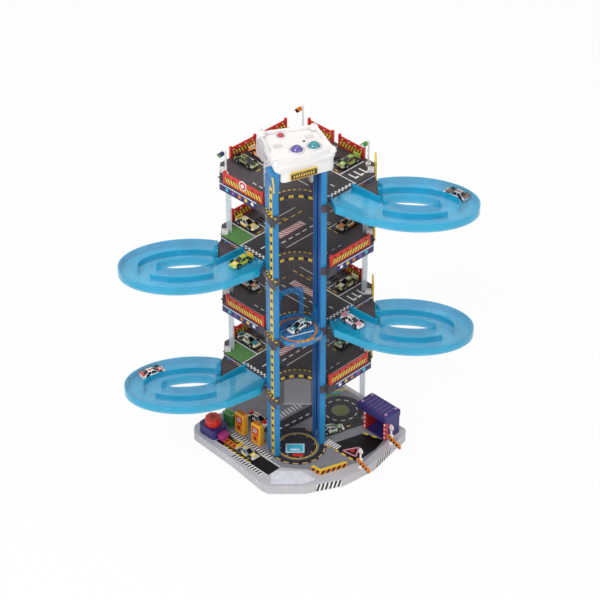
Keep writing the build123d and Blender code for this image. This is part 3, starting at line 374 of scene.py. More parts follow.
# ------------------------------------------------------------------ cars
# sections from the tail to the nose: place along the car, half its width, bottom and top
CAR_BODY = [(-21.3, 7.2, 3.2, 6.6), (-20.2, 8.6, 2.4, 8.0), (-14.0, 9.0, 2.2, 8.4), (-4.0, 8.8, 2.2, 8.0),
            (6.0, 8.8, 2.2, 7.6), (13.0, 8.9, 2.2, 7.0), (19.0, 8.2, 2.4, 5.6), (21.3, 6.6, 3.0, 4.6)]
CAR_CABIN = [(-15.5, 6.4, 7.9, 8.2), (-10.0, 6.6, 7.9, 11.7), (-6.0, 6.6, 7.8, 12.3), (1.0, 6.6, 7.6, 12.1),
             (9.0, 6.7, 7.0, 7.6)]
CAR_PILLARS = (((-15.2, 6.1, 8.2), (-9.6, 4.9, 12.2)), ((0.4, 4.9, 12.2), (8.8, 6.2, 7.6)),
               ((-4.6, 6.7, 7.8), (-4.6, 4.9, 12.3)))
PILLAR_SECTION = ((-0.6, 0.2), (0.6, 0.2), (0.6, -0.5), (-0.6, -0.5))
HOOD_REAR = 9.4
WHEEL_X, WHEEL_Y, WHEEL_Z = 12.0, 9.2, 4.2


def car(build, x, y, z, heading, body, accent, roundel=False):
    """A toy car: lofted body, dark glass, wheels with hubs, bonnet panel, lights and a rear wing."""
    at = place(x, y, z, heading)
    skin = car_paint(body)
    trim = car_paint(accent)
    rings = []
    for sx, w, z0, z1 in CAR_BODY:
        mid = (z0 + z1) / 2
        rings.append([(sx, -w + 1.0, z0), (sx, w - 1.0, z0), (sx, w, mid - 0.4), (sx, w - 0.3, z1 - 1.0),
                      (sx, w - 1.9, z1), (sx, -w + 1.9, z1), (sx, -w + 0.3, z1 - 1.0), (sx, -w, mid - 0.4)])
    build.loft(rings, skin, at)
    rings = []
    for sx, w, z0, z1 in CAR_CABIN:
        t = w * (0.76 if z1 - z0 > 2 else 0.95)
        rings.append([(sx, -w, z0), (sx, w, z0), (sx, t, z1), (sx, -t, z1)])
    build.loft(rings, GLASS, at)
    build.plate([(-9.6, -4.9), (0.6, -4.8), (0.6, 4.8), (-9.6, 4.9)], skin, at, 12.1, 0.6)
    build.patch(-8.2, 0.3, -1.6, 1.6, trim, at, 12.6, 0.3)
    for sy in (-1, 1):
        for ends in CAR_PILLARS:
            post = [[(px + dx, (py + dy) * sy, pz) for dx, dy in PILLAR_SECTION] for px, py, pz in ends]
            build.loft(post, skin, at)
        flank = at @ wall((-13, 9.05 * sy, 3.2), (1 if sy < 0 else -1, 0, 0))
        x0 = 0 if sy < 0 else -26
        build.box(x0 + 8.5, x0 + 18.5, 0.6, 3.4, -0.2, 0.25, trim, flank)
        build.box(-0.8, 1.0, -1.6, 1.6, -0.7, 0.8, paint("cream"), at @ place(20.2, sy * 5.0, 4.6))
        build.box(-0.5, 0.6, -1.6, 1.6, -0.7, 0.7, RED, at @ place(-21.0, sy * 5.2, 5.4))
        build.box(-20.8, -18.6, sy * 5.4 - 0.4, sy * 5.4 + 0.4, 7.6, 10.4, trim, at)
    build.box(-21.4, -18.2, -7.4, 7.4, 10.2, 10.9, trim, at)
    slope = at @ Matrix.Translation((HOOD_REAR, 0, 7.55)) @ turned(9.5, "Y")
    hood = [(HOOD_REAR, -5.0), (18.6, -3.6), (18.6, 3.6), (HOOD_REAR, 5.0)]
    build.plate([(px - HOOD_REAR, py) for px, py in hood], trim, slope, thick=0.4)
    if roundel:
        build.disc(2.1, 0.4, 0.7, WHITE, slope @ place(5, 0, 0), sides=14)
    build.box(-19.6, -15.6, -4.6, 4.6, 8.0, 8.5, trim, at)
    for px in (-WHEEL_X, WHEEL_X):
        for sy in (-1, 1):
            hub = at @ Matrix.Translation((px, sy * WHEEL_Y, WHEEL_Z)) @ turned(-90 * sy, "X")
            for radius, low, high, mat, sides in ((5.0, -2.2, -0.1, BLACK, 20), (4.2, -3.2, 0.2, TYRE, 20),
                                                  (2.5, 0.1, 0.35, HUB, 14), (0.8, 0.3, 0.6, BLACK, 8)):
                build.disc(radius, low, high, mat, hub, sides=sides)


def car_piece(name, body, *cars):
    build = Build(name + "_dressed")
    for where, *looks in cars:
        car(build, *where, *looks)
    build.done(body, "toy_car", replaces=(name,), smooth=38)


def bay(level, sign, out=-30.0):
    """Where a car stands in a parking bay, and its heading."""
    x, y = uv(146.0, out)
    return sign * x, y, TOPS[level], (225 if sign > 0 else -45)


def lane_place(level):
    """On the lane that leaves a deck for its loop."""
    x, y = uv(81.5, 46.0)
    sign = EXIT[level]
    return sign * x, y, TOPS[level] + LANE_Z, (-45 if sign > 0 else 225)


def loop_place(level, angle):
    """On a loop's outer lane, at an angle round the oval."""
    a, b = LOOP_AXES[0] - LANE_INSET, LOOP_AXES[1] - LANE_INSET
    t, r = math.radians(angle), math.radians(LOOP_TILT)
    px, py = a * math.cos(t), b * math.sin(t)
    dx, dy = -a * math.sin(t), b * math.cos(t)
    x = LOOP_CENTRE[0] + px * math.cos(r) - py * math.sin(r)
    y = LOOP_CENTRE[1] + px * math.sin(r) + py * math.cos(r)
    ahead_x, ahead_y = dx * math.cos(r) - dy * math.sin(r), dx * math.sin(r) + dy * math.cos(r)
    heading = math.degrees(math.atan2(ahead_y, ahead_x))
    sign = EXIT[level]
    if sign < 0:
        heading = 180 - heading
    return sign * x, y, TOPS[level] + LANE_Z, heading


car_piece("cars_deck_5", "tower", (bay(5, -1), "olive", "black"),
          (bay(5, -1, -62.0), "orange", "beige", True), (bay(5, 1), "olive", "lime", True))
car_piece("cars_deck_4", "tower", (bay(4, -1), "cream", "yellow", True), (bay(4, 1), "beige", "orange"))
car_piece("cars_deck_3", "tower", (bay(3, -1), "white", "orange", True), (bay(3, 1), "olive", "cream"))
car_piece("cars_deck_2", "tower", (bay(2, -1), "cream", "teal"), (bay(2, 1), "cream", "green", True))
car_piece("cars_leaving", "tower", (lane_place(4), "lime", "yellow", True), (lane_place(3), "white", "pink"))
car_piece("cars_on_loops", "tower", (loop_place(5, 42), "silver", "brown"),
          (loop_place(2, 50), "white", "red", True))
car_piece("cars_base", "tower", ((-66, 66, BASE_TOP, -45), "white", "red"),
          ((58, 40, BASE_TOP, 20), "white", "green", True))
LIFT = turned(LIFT_TURN, "Z")
spot = LIFT @ Vector((4, 2, 0))
car_piece("car_in_lift", "lift", ((spot.x, spot.y, TOPS[3], 200 + LIFT_TURN), "white", "teal", True))
spot = (LANE_START.x + 64 * S, LANE_START.y - 64 * S, BASE_TOP - 1.2, LANE_TURN)
car_piece("car_on_launcher", "launch_car", (spot, "silver", "yellow", True))


# ------------------------------------------------------------------ decks: prints, kerbs, signs
def lane_prints(build, level, s, z):
    """The lane that leaves for the loop, its chequered line, and the patch beside it."""
    build.plate(uv_quad(54, 111, -26, 19), ROAD, place(0, 0, z, 0, s))
    line(build, uv(112, -60), uv(112, 19.4), 1.8, WHITE, z + OVER, s)
    dashes(build, uv(82, -24), uv(82, 12), 2.2, 9, 7, WHITE, z + OVER, s)
    for i in range(14):
        u = 54 + i * 4
        v = 0 if i % 2 else 3.2
        build.plate(uv_quad(u, u + 4, 15.2 - v, 18.4 - v), WHITE, place(0, 0, z + OVER, 0, s))
    line(build, uv(113, -17), uv(168, -17), 2.0, WHITE, z + OVER, s)
    lawn = level in (2, 4)
    build.plate(uv_quad(114, 160, -15.5, 19), paint("lawn" if lawn else "asphalt"), place(0, 0, z, 0, s))
    for u in () if lawn else (122, 134, 146):
        build.plate(uv_quad(u, u + 3, -8, 10), WHITE, place(0, 0, z + MARK, 0, s))
        build.plate(uv_quad(u, u + 8, 6, 10), WHITE, place(0, 0, z + MARK_TOP, 0, s))


def bay_prints(build, z):
    for side in (-1, 1):
        build.plate(uv_quad(122, 170, -78, -18.5), paint("asphalt"), place(0, 0, z, 0, side))
        for v in (-46, -78):
            line(build, uv(120, v), uv(170, v), 1.6, WHITE, z + OVER, side)
        dashes(build, uv(118, -90), uv(118, -20), 1.6, 8, 6, YELLOW, z + OVER, side)
        build.disc(3.4, 0, INK, WHITE, place(*uv(128, -56), z + OVER, 0, side), sides=20, inner=2.4)


def wing_prints(build, s, z):
    """The fenced side's kerb and markings."""
    build.plate(uv_quad(60, 150, 18, 30), ROAD, place(0, 0, z, 0, -s))
    line(build, uv(56, 14), uv(160, 14), 1.6, WHITE, z + OVER, -s)
    dashes(build, uv(60, 2), uv(112, 2), 1.8, 8, 7, WHITE, z + OVER, -s)


def rear_prints(build, s, z):
    """The road behind the shaft: hatched block, lane lines, a round sign and bars."""
    at = flipped(place(12, 112, z, -45), s)
    stripes(build, -30, 30, -7, 7, 20, 6, (RED, WHITE), at)
    for k in range(-3, 4):
        build.patch(k * 16 - 4.5, k * 16 + 4.5, -19, -16.6, WHITE, at)
        build.patch(k * 16 - 4.5, k * 16 + 4.5, 24, 26.4, YELLOW, at)
    build.patch(-44, 40, -33, -31.6, WHITE, at)
    build.patch(-52, 52, 40, 41.6, WHITE, at)
    build.disc(8, 0, INK, WHITE, at @ place(-18, 56, 0), sides=36, inner=6)
    build.disc(5.4, 0, INK, RED, at @ place(-18, 56, 0), sides=30, inner=3.6)
    for x in range(8, 36, 7):
        build.patch(x, x + 3, 48, 62, WHITE, at)


def skirt_signs(level):
    build = Build(f"deck_{level}_skirt_signs")
    for side in (-1, 1):
        exit_side = side == EXIT[level]
        first, last = (106, 156) if exit_side else (56, 140)
        x, y = uv(first, NOTCH if exit_side else WING)
        at = wall((x, y, TOPS[level] - 15.0), (S, S, 0), side)
        length = last - first
        build.patch(0, length, 0, 13.5, paint("navy"), at, GAP)
        build.patch(0, length, 10.6, 12.2, WHITE, at, ON_SIGN)
        for i, key in enumerate(("white", "yellow", "orange", "purple", "cyan")):
            a = 6 + i * (length - 12) / 5
            build.patch(a, a + 6, 3, 8.4, paint(key), at, 0.25)
    build.done("tower", "navy_abs")


def deck_prints(level):
    s = EXIT[level]
    z = TOPS[level] + GAP
    build = Build(f"deck_{level}_prints")
    lane_prints(build, level, s, z)
    bay_prints(build, z)
    wing_prints(build, s, z)
    rear_prints(build, s, z)
    for start in range(40, 250, 10):      # dashed ring on the shaft's rim
        build.disc(50.2, 0, INK, YELLOW, place(0, 0, z, LIFT_TURN - 40), sides=72, inner=47.4,
                   start=start, sweep=5.5)
    build.done("tower", "white_abs")
    # the yellow and black band on the rim's face, seen across the shaft
    rim = Build(f"deck_{level}_rim")
    for i in range(15):
        rim.disc(SHAFT_RIM - 0.02, -13.0, -8.0, WARNING[i % 2], place(0, 0, TOPS[level]), sides=90,
                 inner=SHAFT_RIM - 0.4, start=LIFT_TURN + 15 + i * 10, sweep=10)
    rim.done("tower", "striped_abs")
    skirt_signs(level)


for level in TOPS:
    deck_prints(level)


# ------------------------------------------------------------------ fences and corners
def fence_boards(level):
    """Boards with slanted stripes, and a round sign on the top deck's front fence."""
    s = EXIT[level]
    z = TOPS[level]
    colours = (paint("brown"), YELLOW)
    build = Build(f"fences_{level}_boards")
    x, y = uv(46, WING - FENCE_THICK / 2)
    stripes(build, 0, 82, 0, 9.0, 26, 4, colours, wall((x, y, z + 3.0), (S, S, 0), -s))
    spans = [(-78, -24)]
    if level == 5:
        hub = wall((*uv(87, 33.8), z + 14), (S, S, 0), -s)
        build.disc(8.5, 0.1, 1.0, WHITE, hub, sides=28)
        build.disc(6.8, 0.9, 1.3, RED, hub, sides=28)
        build.disc(3.6, 1.2, 1.6, WHITE, hub, sides=20)
        spans.append((-148, -94))
    for start, end in spans:
        for side in (-1, 1):
            x, y = uv(REAR - FENCE_THICK * 1.5, start)
            at = wall((x, y, z + 3.0), (S, -S, 0), side)
            stripes(build, 0, end - start, 0, 9.0, 17, 4, colours, at)
    build.done("tower", "striped_abs")


for level in TOPS:
    fence_boards(level)

panels = Build("corner_panel_stripes")
for top in TOPS.values():
    stripes(panels, 0, 29, 0, 33, 9, 9, WARNING, wall((SIDE_CUT + FENCE_THICK, 96.5, top - 12.5), (0, 1, 0)))
    stripes(panels, 2, 28, 0, 11, 8, 6, WARNING, wall((-SIDE_CUT, 127.0, top - 12.5), (0, -1, 0)))
panels.done("tower", "striped_abs")

caps = Build("deck_corner_caps")
BRACKET = [(3.6, 0), (3.6, -20), (0.5, -20), (-12, -1), (-12, 0)]
for top in TOPS.values():
    for side, bracket_y in ((1, 100.0), (-1, 101.6)):
        at = place(0, 0, 0, 0, side)
        caps.box(112.5, 123.0, 97.5, 106, top + 0.02, top + 7, WHITE_PLASTIC, at)
        caps.box(114.5, 121.0, 98.5, 104, top + 6.9, top + 8, WHITE_SHADE, at)
        caps.plate(BRACKET, WHITE_PLASTIC, at @ wall((120.0, bracket_y, top - 16.2), (1, 0, 0)), thick=2.2)
caps.done("tower", "white_abs", bevel=0.4)

# ------------------------------------------------------------------ columns and lift
strip = Build("column_strips")
face = LIFT @ wall((-46.0, 2.0, COLUMN_FOOT), (0, -1, 0))
strip.patch(0.5, 12.5, 0, 540, YELLOW, face, GAP)
for i in range(33):
    y = 6 + i * 16
    strip.plate([(2.5, y), (10.5, y + 3), (10.5, y + 9), (2.5, y + 6)], BLACK, face, ON_SIGN)
strip.done("tower", "striped_abs")

ribs = Build("column_ribs")
for side in (-1, 1):
    for y in (-9.5, 19.5):
        ribs.box(side * 36 - 0.35, side * 36 + 0.35, y - 1.0, y + 1.0, 22, 565, COLUMN_BLUE, LIFT)
    ribs.box(side * 41 - 4.4, side * 41 + 4.4, -11.4, -10.9, COLUMN_FOOT, COLUMN_HEAD, COLUMN_BLUE, LIFT)
for y0, y1 in ((-10.6, 0.7), (9.3, 20.6)):
    for x0, x1 in ((35.82, 36.1), (-36.1, -35.82)):
        ribs.box(x0, x1, y0, y1, 20.6, COLUMN_HEAD, INNER_BLUE, LIFT)
ribs.done("tower", "column_blue", bevel=0.08)

lift_prints = Build("lift_prints")
at = LIFT @ place(0, 0, TOPS[3])
lift_prints.disc(33, GAP, INK, ORANGE, at, sides=40, inner=30)
lift_prints.patch(-24, 24, -14, -12, WHITE, at, 0.1)
stripes(lift_prints, -26, 26, -38, -31, 12, 4, (ORANGE, YELLOW), at)
lift_prints.done("lift", "clear_blue")

# ------------------------------------------------------------------ control house
WAIST = [(-33.5, -18.3), (59.0, -11.0), (61.0, 71.0), (-31.0, 84.5)]
ROOF = 595.6                  # the sunken roof, low enough for the buttons to be pressed
CONSOLE = 604.7               # just inside the console's top


def soft_corners(points, radius, z, steps=5):
    """The outline with each corner rounded, as one ring."""
    ring = []
    for i, point in enumerate(points):
        p, before, after = Vector(point), Vector(points[i - 1]), Vector(points[(i + 1) % len(points)])
        a = (before - p).normalized()
        b = (after - p).normalized()
        for k in range(steps + 1):
            t = k / steps
            q = p + a * radius * (1 - t) ** 2 + b * radius * t ** 2
            ring.append((q.x, q.y, z))
    return ring


def grown(points, by):
    middle = sum((Vector(p) for p in points), Vector((0, 0))) / len(points)
    return [tuple(Vector(p) + (Vector(p) - middle).normalized() * by) for p in points]


shell = Build("house_body")
shell.loft([soft_corners(WAIST, 9, HOUSE_LOW), soft_corners(WAIST, 9, HOUSE_LOW + 14)]
           + [soft_corners(grown(HOUSE, by), radius, z) for by, radius, z in (
               (-3, 10, HOUSE_LOW + 19), (-0.4, 10, HOUSE_LOW + 23), (-0.4, 10, HOUSE_TOP - 2.5),
               (-1.6, 9, HOUSE_TOP - 0.6), (-4, 8, HOUSE_TOP), (-5.2, 8, ROOF))], WHITE_PLASTIC, LIFT)
for x, y in HOUSE_LEGS:
    shell.box(x - 4.5, x + 4.5, y - 4.5, y + 4.5, TOPS[5], HOUSE_LOW + 1, WHITE_PLASTIC, LIFT)
    for z in range(515, 565, 12):
        shell.box(x - 4.9, x + 4.9, y - 4.9, y + 4.9, z, z + 3, WHITE_SHADE, LIFT)
shell.done("tower", "white_abs", replaces=("house_shell",), smooth=40, bevel=0.3)

house = Build("house_details")
# raised rim round the sunken roof, open at the console, and a horn at each corner
outer = [(x, y) for x, y, _ in soft_corners(grown(HOUSE, -1.5), 9, 0)]
inner = [(x, y) for x, y, _ in soft_corners(grown(HOUSE, -6.5), 8, 0)]
CUBE = [[3, 2, 1, 0], [4, 5, 6, 7], [0, 1, 5, 4], [1, 2, 6, 5], [2, 3, 7, 6], [3, 0, 4, 7]]
for i in range(len(outer)):
    j = (i + 1) % len(outer)
    if outer[i][1] < 20 and outer[j][1] < 20:
        continue
    corners = (outer[i], outer[j], inner[j], inner[i])
    verts = [(x, y, HOUSE_TOP - 1) for x, y in corners]
    verts += [(x, y, HOUSE_TOP + rise) for (x, y), rise in zip(corners, (4.5, 4.5, 3.5, 3.5))]
    house.add(verts, CUBE, WHITE_PLASTIC, LIFT)
for x, y, size, high in ((-40.0, -13.0, 5.0, 11.0), (57.0, -6.5, 6.0, 9.0), (56.0, 66.0, 7.0, 9.0),
                         (-27.5, 79.0, 7.0, 10.0)):
    rings = []
    for k in range(6):
        t = k / 5
        r = size * (1 - 0.45 * t * t)
        rings.append([(x + r * math.cos(math.tau * i / 14), y + r * math.sin(math.tau * i / 14),
                       HOUSE_TOP + 1 + (high - 1) * t) for i in range(14)])
    house.loft(rings, WHITE_PLASTIC, LIFT)
    tip = HOUSE_TOP + high
    house.disc(size * 0.38, tip - 0.3, tip + 0.5, WHITE_SHADE, LIFT @ place(x, y, 0), sides=14)
for i in range(4):
    house.box(-40.5, -34.5, 46 + i * 7, 49 + i * 7, 571, 600, WHITE_SHADE, LIFT)
# lip of the console, bowed out to the front
LIP_STEPS = 24
lip = []
for k in range(LIP_STEPS + 1):
    t = k / LIP_STEPS
    lip.append((-40 + 98 * t, -16.4 + 7.5 * t - 3.2 * math.sin(math.pi * t)))
for (xa, ya), (xb, yb) in zip(lip, lip[1:]):
    house.add([(xa, ya + 6, 598), (xb, yb + 6, 598), (xb, yb, 596.5), (xa, ya, 596.5),
               (xa, ya + 6, 606.6), (xb, yb + 6, 606.6), (xb, yb, 607.2), (xa, ya, 607.2)],
              [face[::-1] for face in CUBE], WHITE_PLASTIC, LIFT)
for x, y in BUTTONS:
    house.disc(13.0, CONSOLE, 605.7, WHITE_SHADE, LIFT @ place(x, y, 0), sides=40, inner=10.4)
    house.disc(11.0, CONSOLE, 606.6, WHITE_PLASTIC, LIFT @ place(x, y, 0), sides=40, inner=10.0)
for i in range(5):
    house.box(-22 + i * 3, -20.6 + i * 3, 34, 48, ROOF - 0.4, ROOF + 0.8, WHITE_SHADE, LIFT)
house.disc(2.0, ROOF - 0.2, ROOF + 1.0, BLACK, LIFT @ place(28, 40, 0), sides=16)
for i in range(6):
    at = LIFT @ place(36 + 5 * (i % 3), 46 + 6 * (i // 3), 0)
    house.disc(1.4, ROOF - 0.2, ROOF + 1.4, WHITE_SHADE, at, sides=12)
house.disc(7.5, ROOF - 0.2, ROOF + 1.6, WHITE_SHADE, LIFT @ place(0, 68, 0), sides=32, inner=5.6)
house.disc(20, ROOF - 0.2, ROOF + 0.5, WHITE_PLASTIC, LIFT @ place(14, 50, 0), sides=48, inner=18.6)
house.done("tower", "white_abs", bevel=0.25, smooth=40)

# the left column's head, which flares out under the house, with its yellow edge
heads = Build("column_heads")
rings = []
for z, t in ((548, 0.0), (562, 0.15), (572, 0.55), (580, 1.0), (585, 1.0)):
    xa, ya = -46.0 - 3.5 * t, -12.0 - 2.5 * t
    rings.append([(xa, ya, z), (-35.0, ya, z), (-35.0, 10, z), (xa, 10, z)])
heads.loft(rings, COLUMN_BLUE, LIFT)
edge = [[(x + dx, y + dy, z) for dx, dy in ((0.8, -0.3), (3.2, -0.3), (3.2, 0.5), (0.8, 0.5))]
        for (x, y, z), *_ in rings[:4]]
heads.loft(edge, YELLOW, LIFT)
heads.done("tower", "column_blue", bevel=0.4, smooth=40)

sign = Build("house_sign_print")
SIGN_X = 4.0
front_run = Vector(HOUSE[1]) - Vector(HOUSE[0])
sign_y = HOUSE[0][1] + front_run.y * (SIGN_X - HOUSE[0][0]) / front_run.x
at = LIFT @ Matrix.Translation((SIGN_X, sign_y, 569.0)) @ \
    Matrix.Rotation(math.atan2(front_run.y, front_run.x), 4, "Z") @ wall((-23.0, -2.0, 0), (1, 0, 0))
sign.patch(0.8, 45.2, 0.8, 12.2, BLACK, at, GAP)
for y in (1.8, 10.4):
    sign.patch(1.8, 44.2, y, y + 0.8, paint("tan"), at, ON_SIGN)
for i in range(9):
    a = 4.5 + i * 4.2
    sign.plate([(a, 4.4), (a + 2.2, 4.4), (a + 2.9, 8.6), (a + 0.7, 8.6)], YELLOW, at, ON_SIGN)
sign.done("tower", "striped_abs")

flags = Build("corner_flag_prints")
for x, y, cloth, edge in ((-114.0, 92.0, "navy", "green"), (114.0, 122.0, "green", "white"),
                          (9.0, 229.0, "orange", "black")):
    at = Matrix.Translation((x, y, FLAG_Z)) @ turned(-35, "Y")
    at = at @ Matrix.Translation((-7, 0, 0)) @ turned(90, "X")
    flags.plate([(-7.2, -3.7), (7.2, -3.7), (4.0, 3.7), (-7.2, 3.7)], paint(cloth), at, -1.2, 2.4)
    flags.patch(-6.8, -3.0, -3.3, 3.3, paint(edge), at, -1.5, 3.0)
flags.done("tower", "striped_abs")

# ------------------------------------------------------------------ base
# heights over the base's top, low to high
SLAB, RING, YARD, STREET, CIRCLE, LANE_MARK, SIGN, CIRCLE_MARK = (
    0.02, 0.07, 0.15, 0.17, 0.35, 0.5, 0.55, 0.6)
SLAB_THICK = INK * 0.6
CIRCUS = (74, 96)             # the round junction


def floor_at(height, x=0, y=0):
    return place(x, y, BASE_TOP + height)


base = Build("base_prints")
apron = [(-128, 88), (-150, 70), (-160, 60), (-118.7, 35.3), (-28.2, -55.2), (20, -62), (38, -72), (84, -50),
         (112, -40), (150, 10), (160, 40), (130, 84), (116, 124), (14, 226), (-14, 226), (-118, 124)]
base.plate(apron, paint("concrete"), floor_at(SLAB), thick=SLAB_THICK)
front_strip = [(-44, -72), (-36, -64), (8, -66), (30, -86), (10, -98), (-44, -98)]
base.plate(front_strip, paint("pale"), floor_at(SLAB), thick=SLAB_THICK)
base.disc(49, 0, INK, ROAD, floor_at(RING), sides=72, inner=36.6)
for start in (*range(0, 61, 20), *range(160, 360, 20)):
    base.disc(48, 0.2, 0.2 + INK, paint("tan"), floor_at(GAP), sides=90, inner=45, start=start, sweep=12)
for street in ([(-40, 30), (-8, 52), (40, 92), (26, 112), (-30, 66), (-62, 40)],
               [(30, 36), (44, 22), (118, 60), (104, 82), (66, 76), (40, 92), (26, 80)]):
    base.plate(street, ROAD, floor_at(STREET))
base.disc(40, 0, INK, ROAD, floor_at(CIRCLE, *CIRCUS), sides=60, inner=16)
for start in range(0, 360, 30):
    base.disc(29.5, 0, INK, WHITE, floor_at(CIRCLE_MARK, *CIRCUS), sides=72, inner=27.5,
              start=start, sweep=16)
base.disc(14, 0, INK, paint("olive"), floor_at(CIRCLE, *CIRCUS), sides=36)
mark_z = BASE_TOP + LANE_MARK
dashes(base, (-44, 34), (34, 98), 2.2, 8, 7, WHITE, mark_z)
dashes(base, (44, 30), (100, 60), 2.2, 8, 7, YELLOW, mark_z)
for i in range(9):            # a crossing
    dx, dy = i * 5.2, i * 4.6
    base.plate([(-36 + dx, 66 + dy), (-33.5 + dx, 68.2 + dy), (-42 + dx, 80 + dy), (-44.5 + dx, 77.8 + dy)],
               WHITE, floor_at(LANE_MARK))
for i in range(6):            # and another
    dx, dy = i * 3.6, i * 3.4
    base.plate([(44 + dx, 8 - dy), (46.2 + dx, 6 - dy), (56 + dx, 16 - dy), (53.8 + dx, 18 - dy)],
               WHITE, floor_at(LANE_MARK))
base.plate([(50, 2), (99, -42), (132, -8), (146, 16), (112, 34)], BLACK, floor_at(YARD))
dashes(base, (50, 2), (99, -42), 3.4, 9, 7, YELLOW, mark_z)
dashes(base, (112, 34), (146, 16), 3.4, 9, 7, YELLOW, mark_z)
triangle = [(76, -12), (104, -4), (98, -28)]
for i in range(3):
    line(base, triangle[i], triangle[(i + 1) % 3], 2.6, paint("pink"), BASE_TOP + SIGN)
base.plate([(86, -12), (97, -9), (94.5, -18)], RED, floor_at(SIGN))
for i, key in enumerate(("green", "cyan", "yellow")):
    line(base, (34 + i * 4, 134 + i * 7), (74 + i * 6, 140 + i * 7), 3.2, paint(key), BASE_TOP + SIGN)
base.patch(-24, 24, 112, 116, WHITE, floor_at(CIRCLE))
base.done("tower", "black_abs")

disc = Build("turntable_prints")
top = floor_at(0)
disc.disc(34.6, GAP, 0.3, ROAD, top, sides=64, inner=4.6)
disc.disc(33.5, 0.25, 0.5, YELLOW, top, sides=64, inner=32.0)
disc.box(-20, 12, -18, 6, 0.25, 0.55, paint("sky"), top)
disc.box(-17, 9, -15, 3, 0.5, 0.75, paint("cyan"), top)
disc.box(-12, 4, -12, -8, 0.7, 0.9, WHITE, top)
disc.box(-8, 10, -27, -20, 0.25, 0.6, RED, top)
for i in range(8):
    a = math.radians(45 * i + 10)
    disc.disc(1.6, 0.25, 0.7, paint("grey"), floor_at(0, 29 * math.cos(a), 29 * math.sin(a)), sides=10)
disc.done("turntable", "black_abs")

lane = Build("launch_lane_prints")
groove, kerb, edge_line = (place(*LANE_START, BASE_TOP + rise, LANE_TURN) for rise in (-1.48, 0.2, GAP))
lane.box(0.5, 127.5, -13.6, 13.6, 0, 0.2, BLACK, groove)
lane.box(8, 50, -6, 6, 0.15, 0.4, ORANGE, groove)
for x in range(12, 48, 9):
    lane.box(x, x + 4, -4, 4, 0.35, 0.55, DARK_RED, groove)
for y0, y1 in ((-13.4, -9.6), (9.6, 13.4)):
    stripes(lane, 18, 82, y0, y1, 14, 4, WARNING, groove, low=0.2)
stripes(lane, 4, 100, 16, 24, 32, 1.5, (WHITE, BLACK), kerb)
stripes(lane, 50, 118, -24, -16, 22, 1.5, (WHITE, BLACK), kerb)
for y in (14.4, -15.4):
    lane.box(2, 126, y, y + 1.0, 0, 0.4, WHITE, edge_line)
lane.done("tower", "striped_abs")

signs = Build("base_edge_signs")
for (xa, ya), (xb, yb), first, length, zebra in (
        ((12, -103.5), (78, -83), 20, 44, True), ((128, -44), (165, 10), 8, 44, True),
        ((-176, 38), (-110, -33), 10, 78, False), ((-110, -33), (-61, -94), 12, 60, False)):
    d = Vector((xb - xa, yb - ya)).normalized()
    at = wall((xa + d.x * first, ya + d.y * first, 4.0), (d.x, d.y, 0))
    if zebra:
        stripes(signs, 0, length, 0, 14, 12, 4, (WHITE, BLACK), at)
    else:
        signs.patch(0, length, 9.5, 13.5, WHITE, at, GAP)
        for i in range(int(length / 4)):
            signs.patch(i * 4 + 0.6, i * 4 + 2.6, 10.4, 12.6, BLACK, at, ON_SIGN)
signs.done("tower", "white_abs")

pumps = Build("fuel_pump_details")
for x, y in PUMPS:
    pump = place(x, y, BASE_TOP, BASE_TURN)
    at = pump @ wall((-5.6, 10.0, 0), (0, -1, 0))
    for x0, x1, y0, y1, low, high, mat in (
            (2.5, 17.5, 21, 37, 0, 0.5, RED), (5.5, 14.5, 26, 33.5, 0.4, 0.8, WHITE),
            (5.5, 14.5, 28, 29.5, 0.7, 1.0, BLACK), (5.5, 14.5, 31, 32.5, 0.7, 1.0, BLACK),
            (3, 17, 6, 20, 0, 0.5, ORANGE), (7, 13, 10, 17, 0.4, 1.2, DARK_RED)):
        pumps.box(x0, x1, y0, y1, low, high, mat, at)
    pumps.box(-4.0, 4.0, -8.5, 8.5, 41.6, 42.4, ORANGE, pump)
pumps.done("tower", "yellow_abs", bevel=0.2)

garage = Build("garage_details")
at = place(*GARAGE, BASE_TOP, BASE_TURN)
for x, y in ((-12, -27), (12, -27), (-12, 27), (12, 27)):
    garage.disc(3.0, 49.6, 51.6, paint("mauve"), at @ place(x, y, 0), sides=20)
    garage.disc(1.6, 51.4, 52.2, paint("pink"), at @ place(x, y, 0), sides=14)
garage.box(-14, 14, -30, 30, 49.8, 50.3, NAVY, at)
for i in range(7):
    garage.box(-13, 13, -24 + i * 8, -23.2 + i * 8, 50.2, 50.5, paint("mauve"), at)
for y in (-29.5, 16.5):
    for z in range(6, 42, 9):
        garage.disc(1.9, 0.0, 0.5, WHITE, at @ wall((-17.0, y, z), (0, -1, 0)), sides=18)
garage.box(-2.7, 2.7, -2.7, 2.7, 1.1, 37.9, RED, at @ place(-14.5, -29.5, 0))
for i in range(5):
    garage.box(-10 + i * 5, -8.4 + i * 5, 13.4, 13.9, 2, 36, DARK_RED, at)
garage.done("tower", "navy_abs", bevel=0.2)

for arm_name, (x, y) in BARRIERS.items():
    arm = Build(f"barrier_arm_{arm_name}_stripes")
    pivot = place(x, y, BASE_TOP + 16, BARRIER_TURN)
    for origin, heading in (((-3, -5.8, -3.4), 1), ((33, -2.8, -3.4), -1)):
        stripes(arm, 0, 36, 0, 6.8, 9, 4, (ORANGE, BLACK), pivot @ wall(origin, (heading, 0, 0)))
    arm.done("arm_" + arm_name, "striped_abs")

rings = Build("barrier_sign_rings")
for x, y in BARRIERS.values():
    at = place(x, y, BASE_TOP + 34.5, BARRIER_TURN) @ turned(90, "X")
    rings.disc(5.5, 1.0, 1.5, paint("pink"), at, sides=30, inner=3.9)
    rings.disc(3.9, 1.0, 1.3, WHITE, at, sides=24)
rings.done("tower", "white_abs")

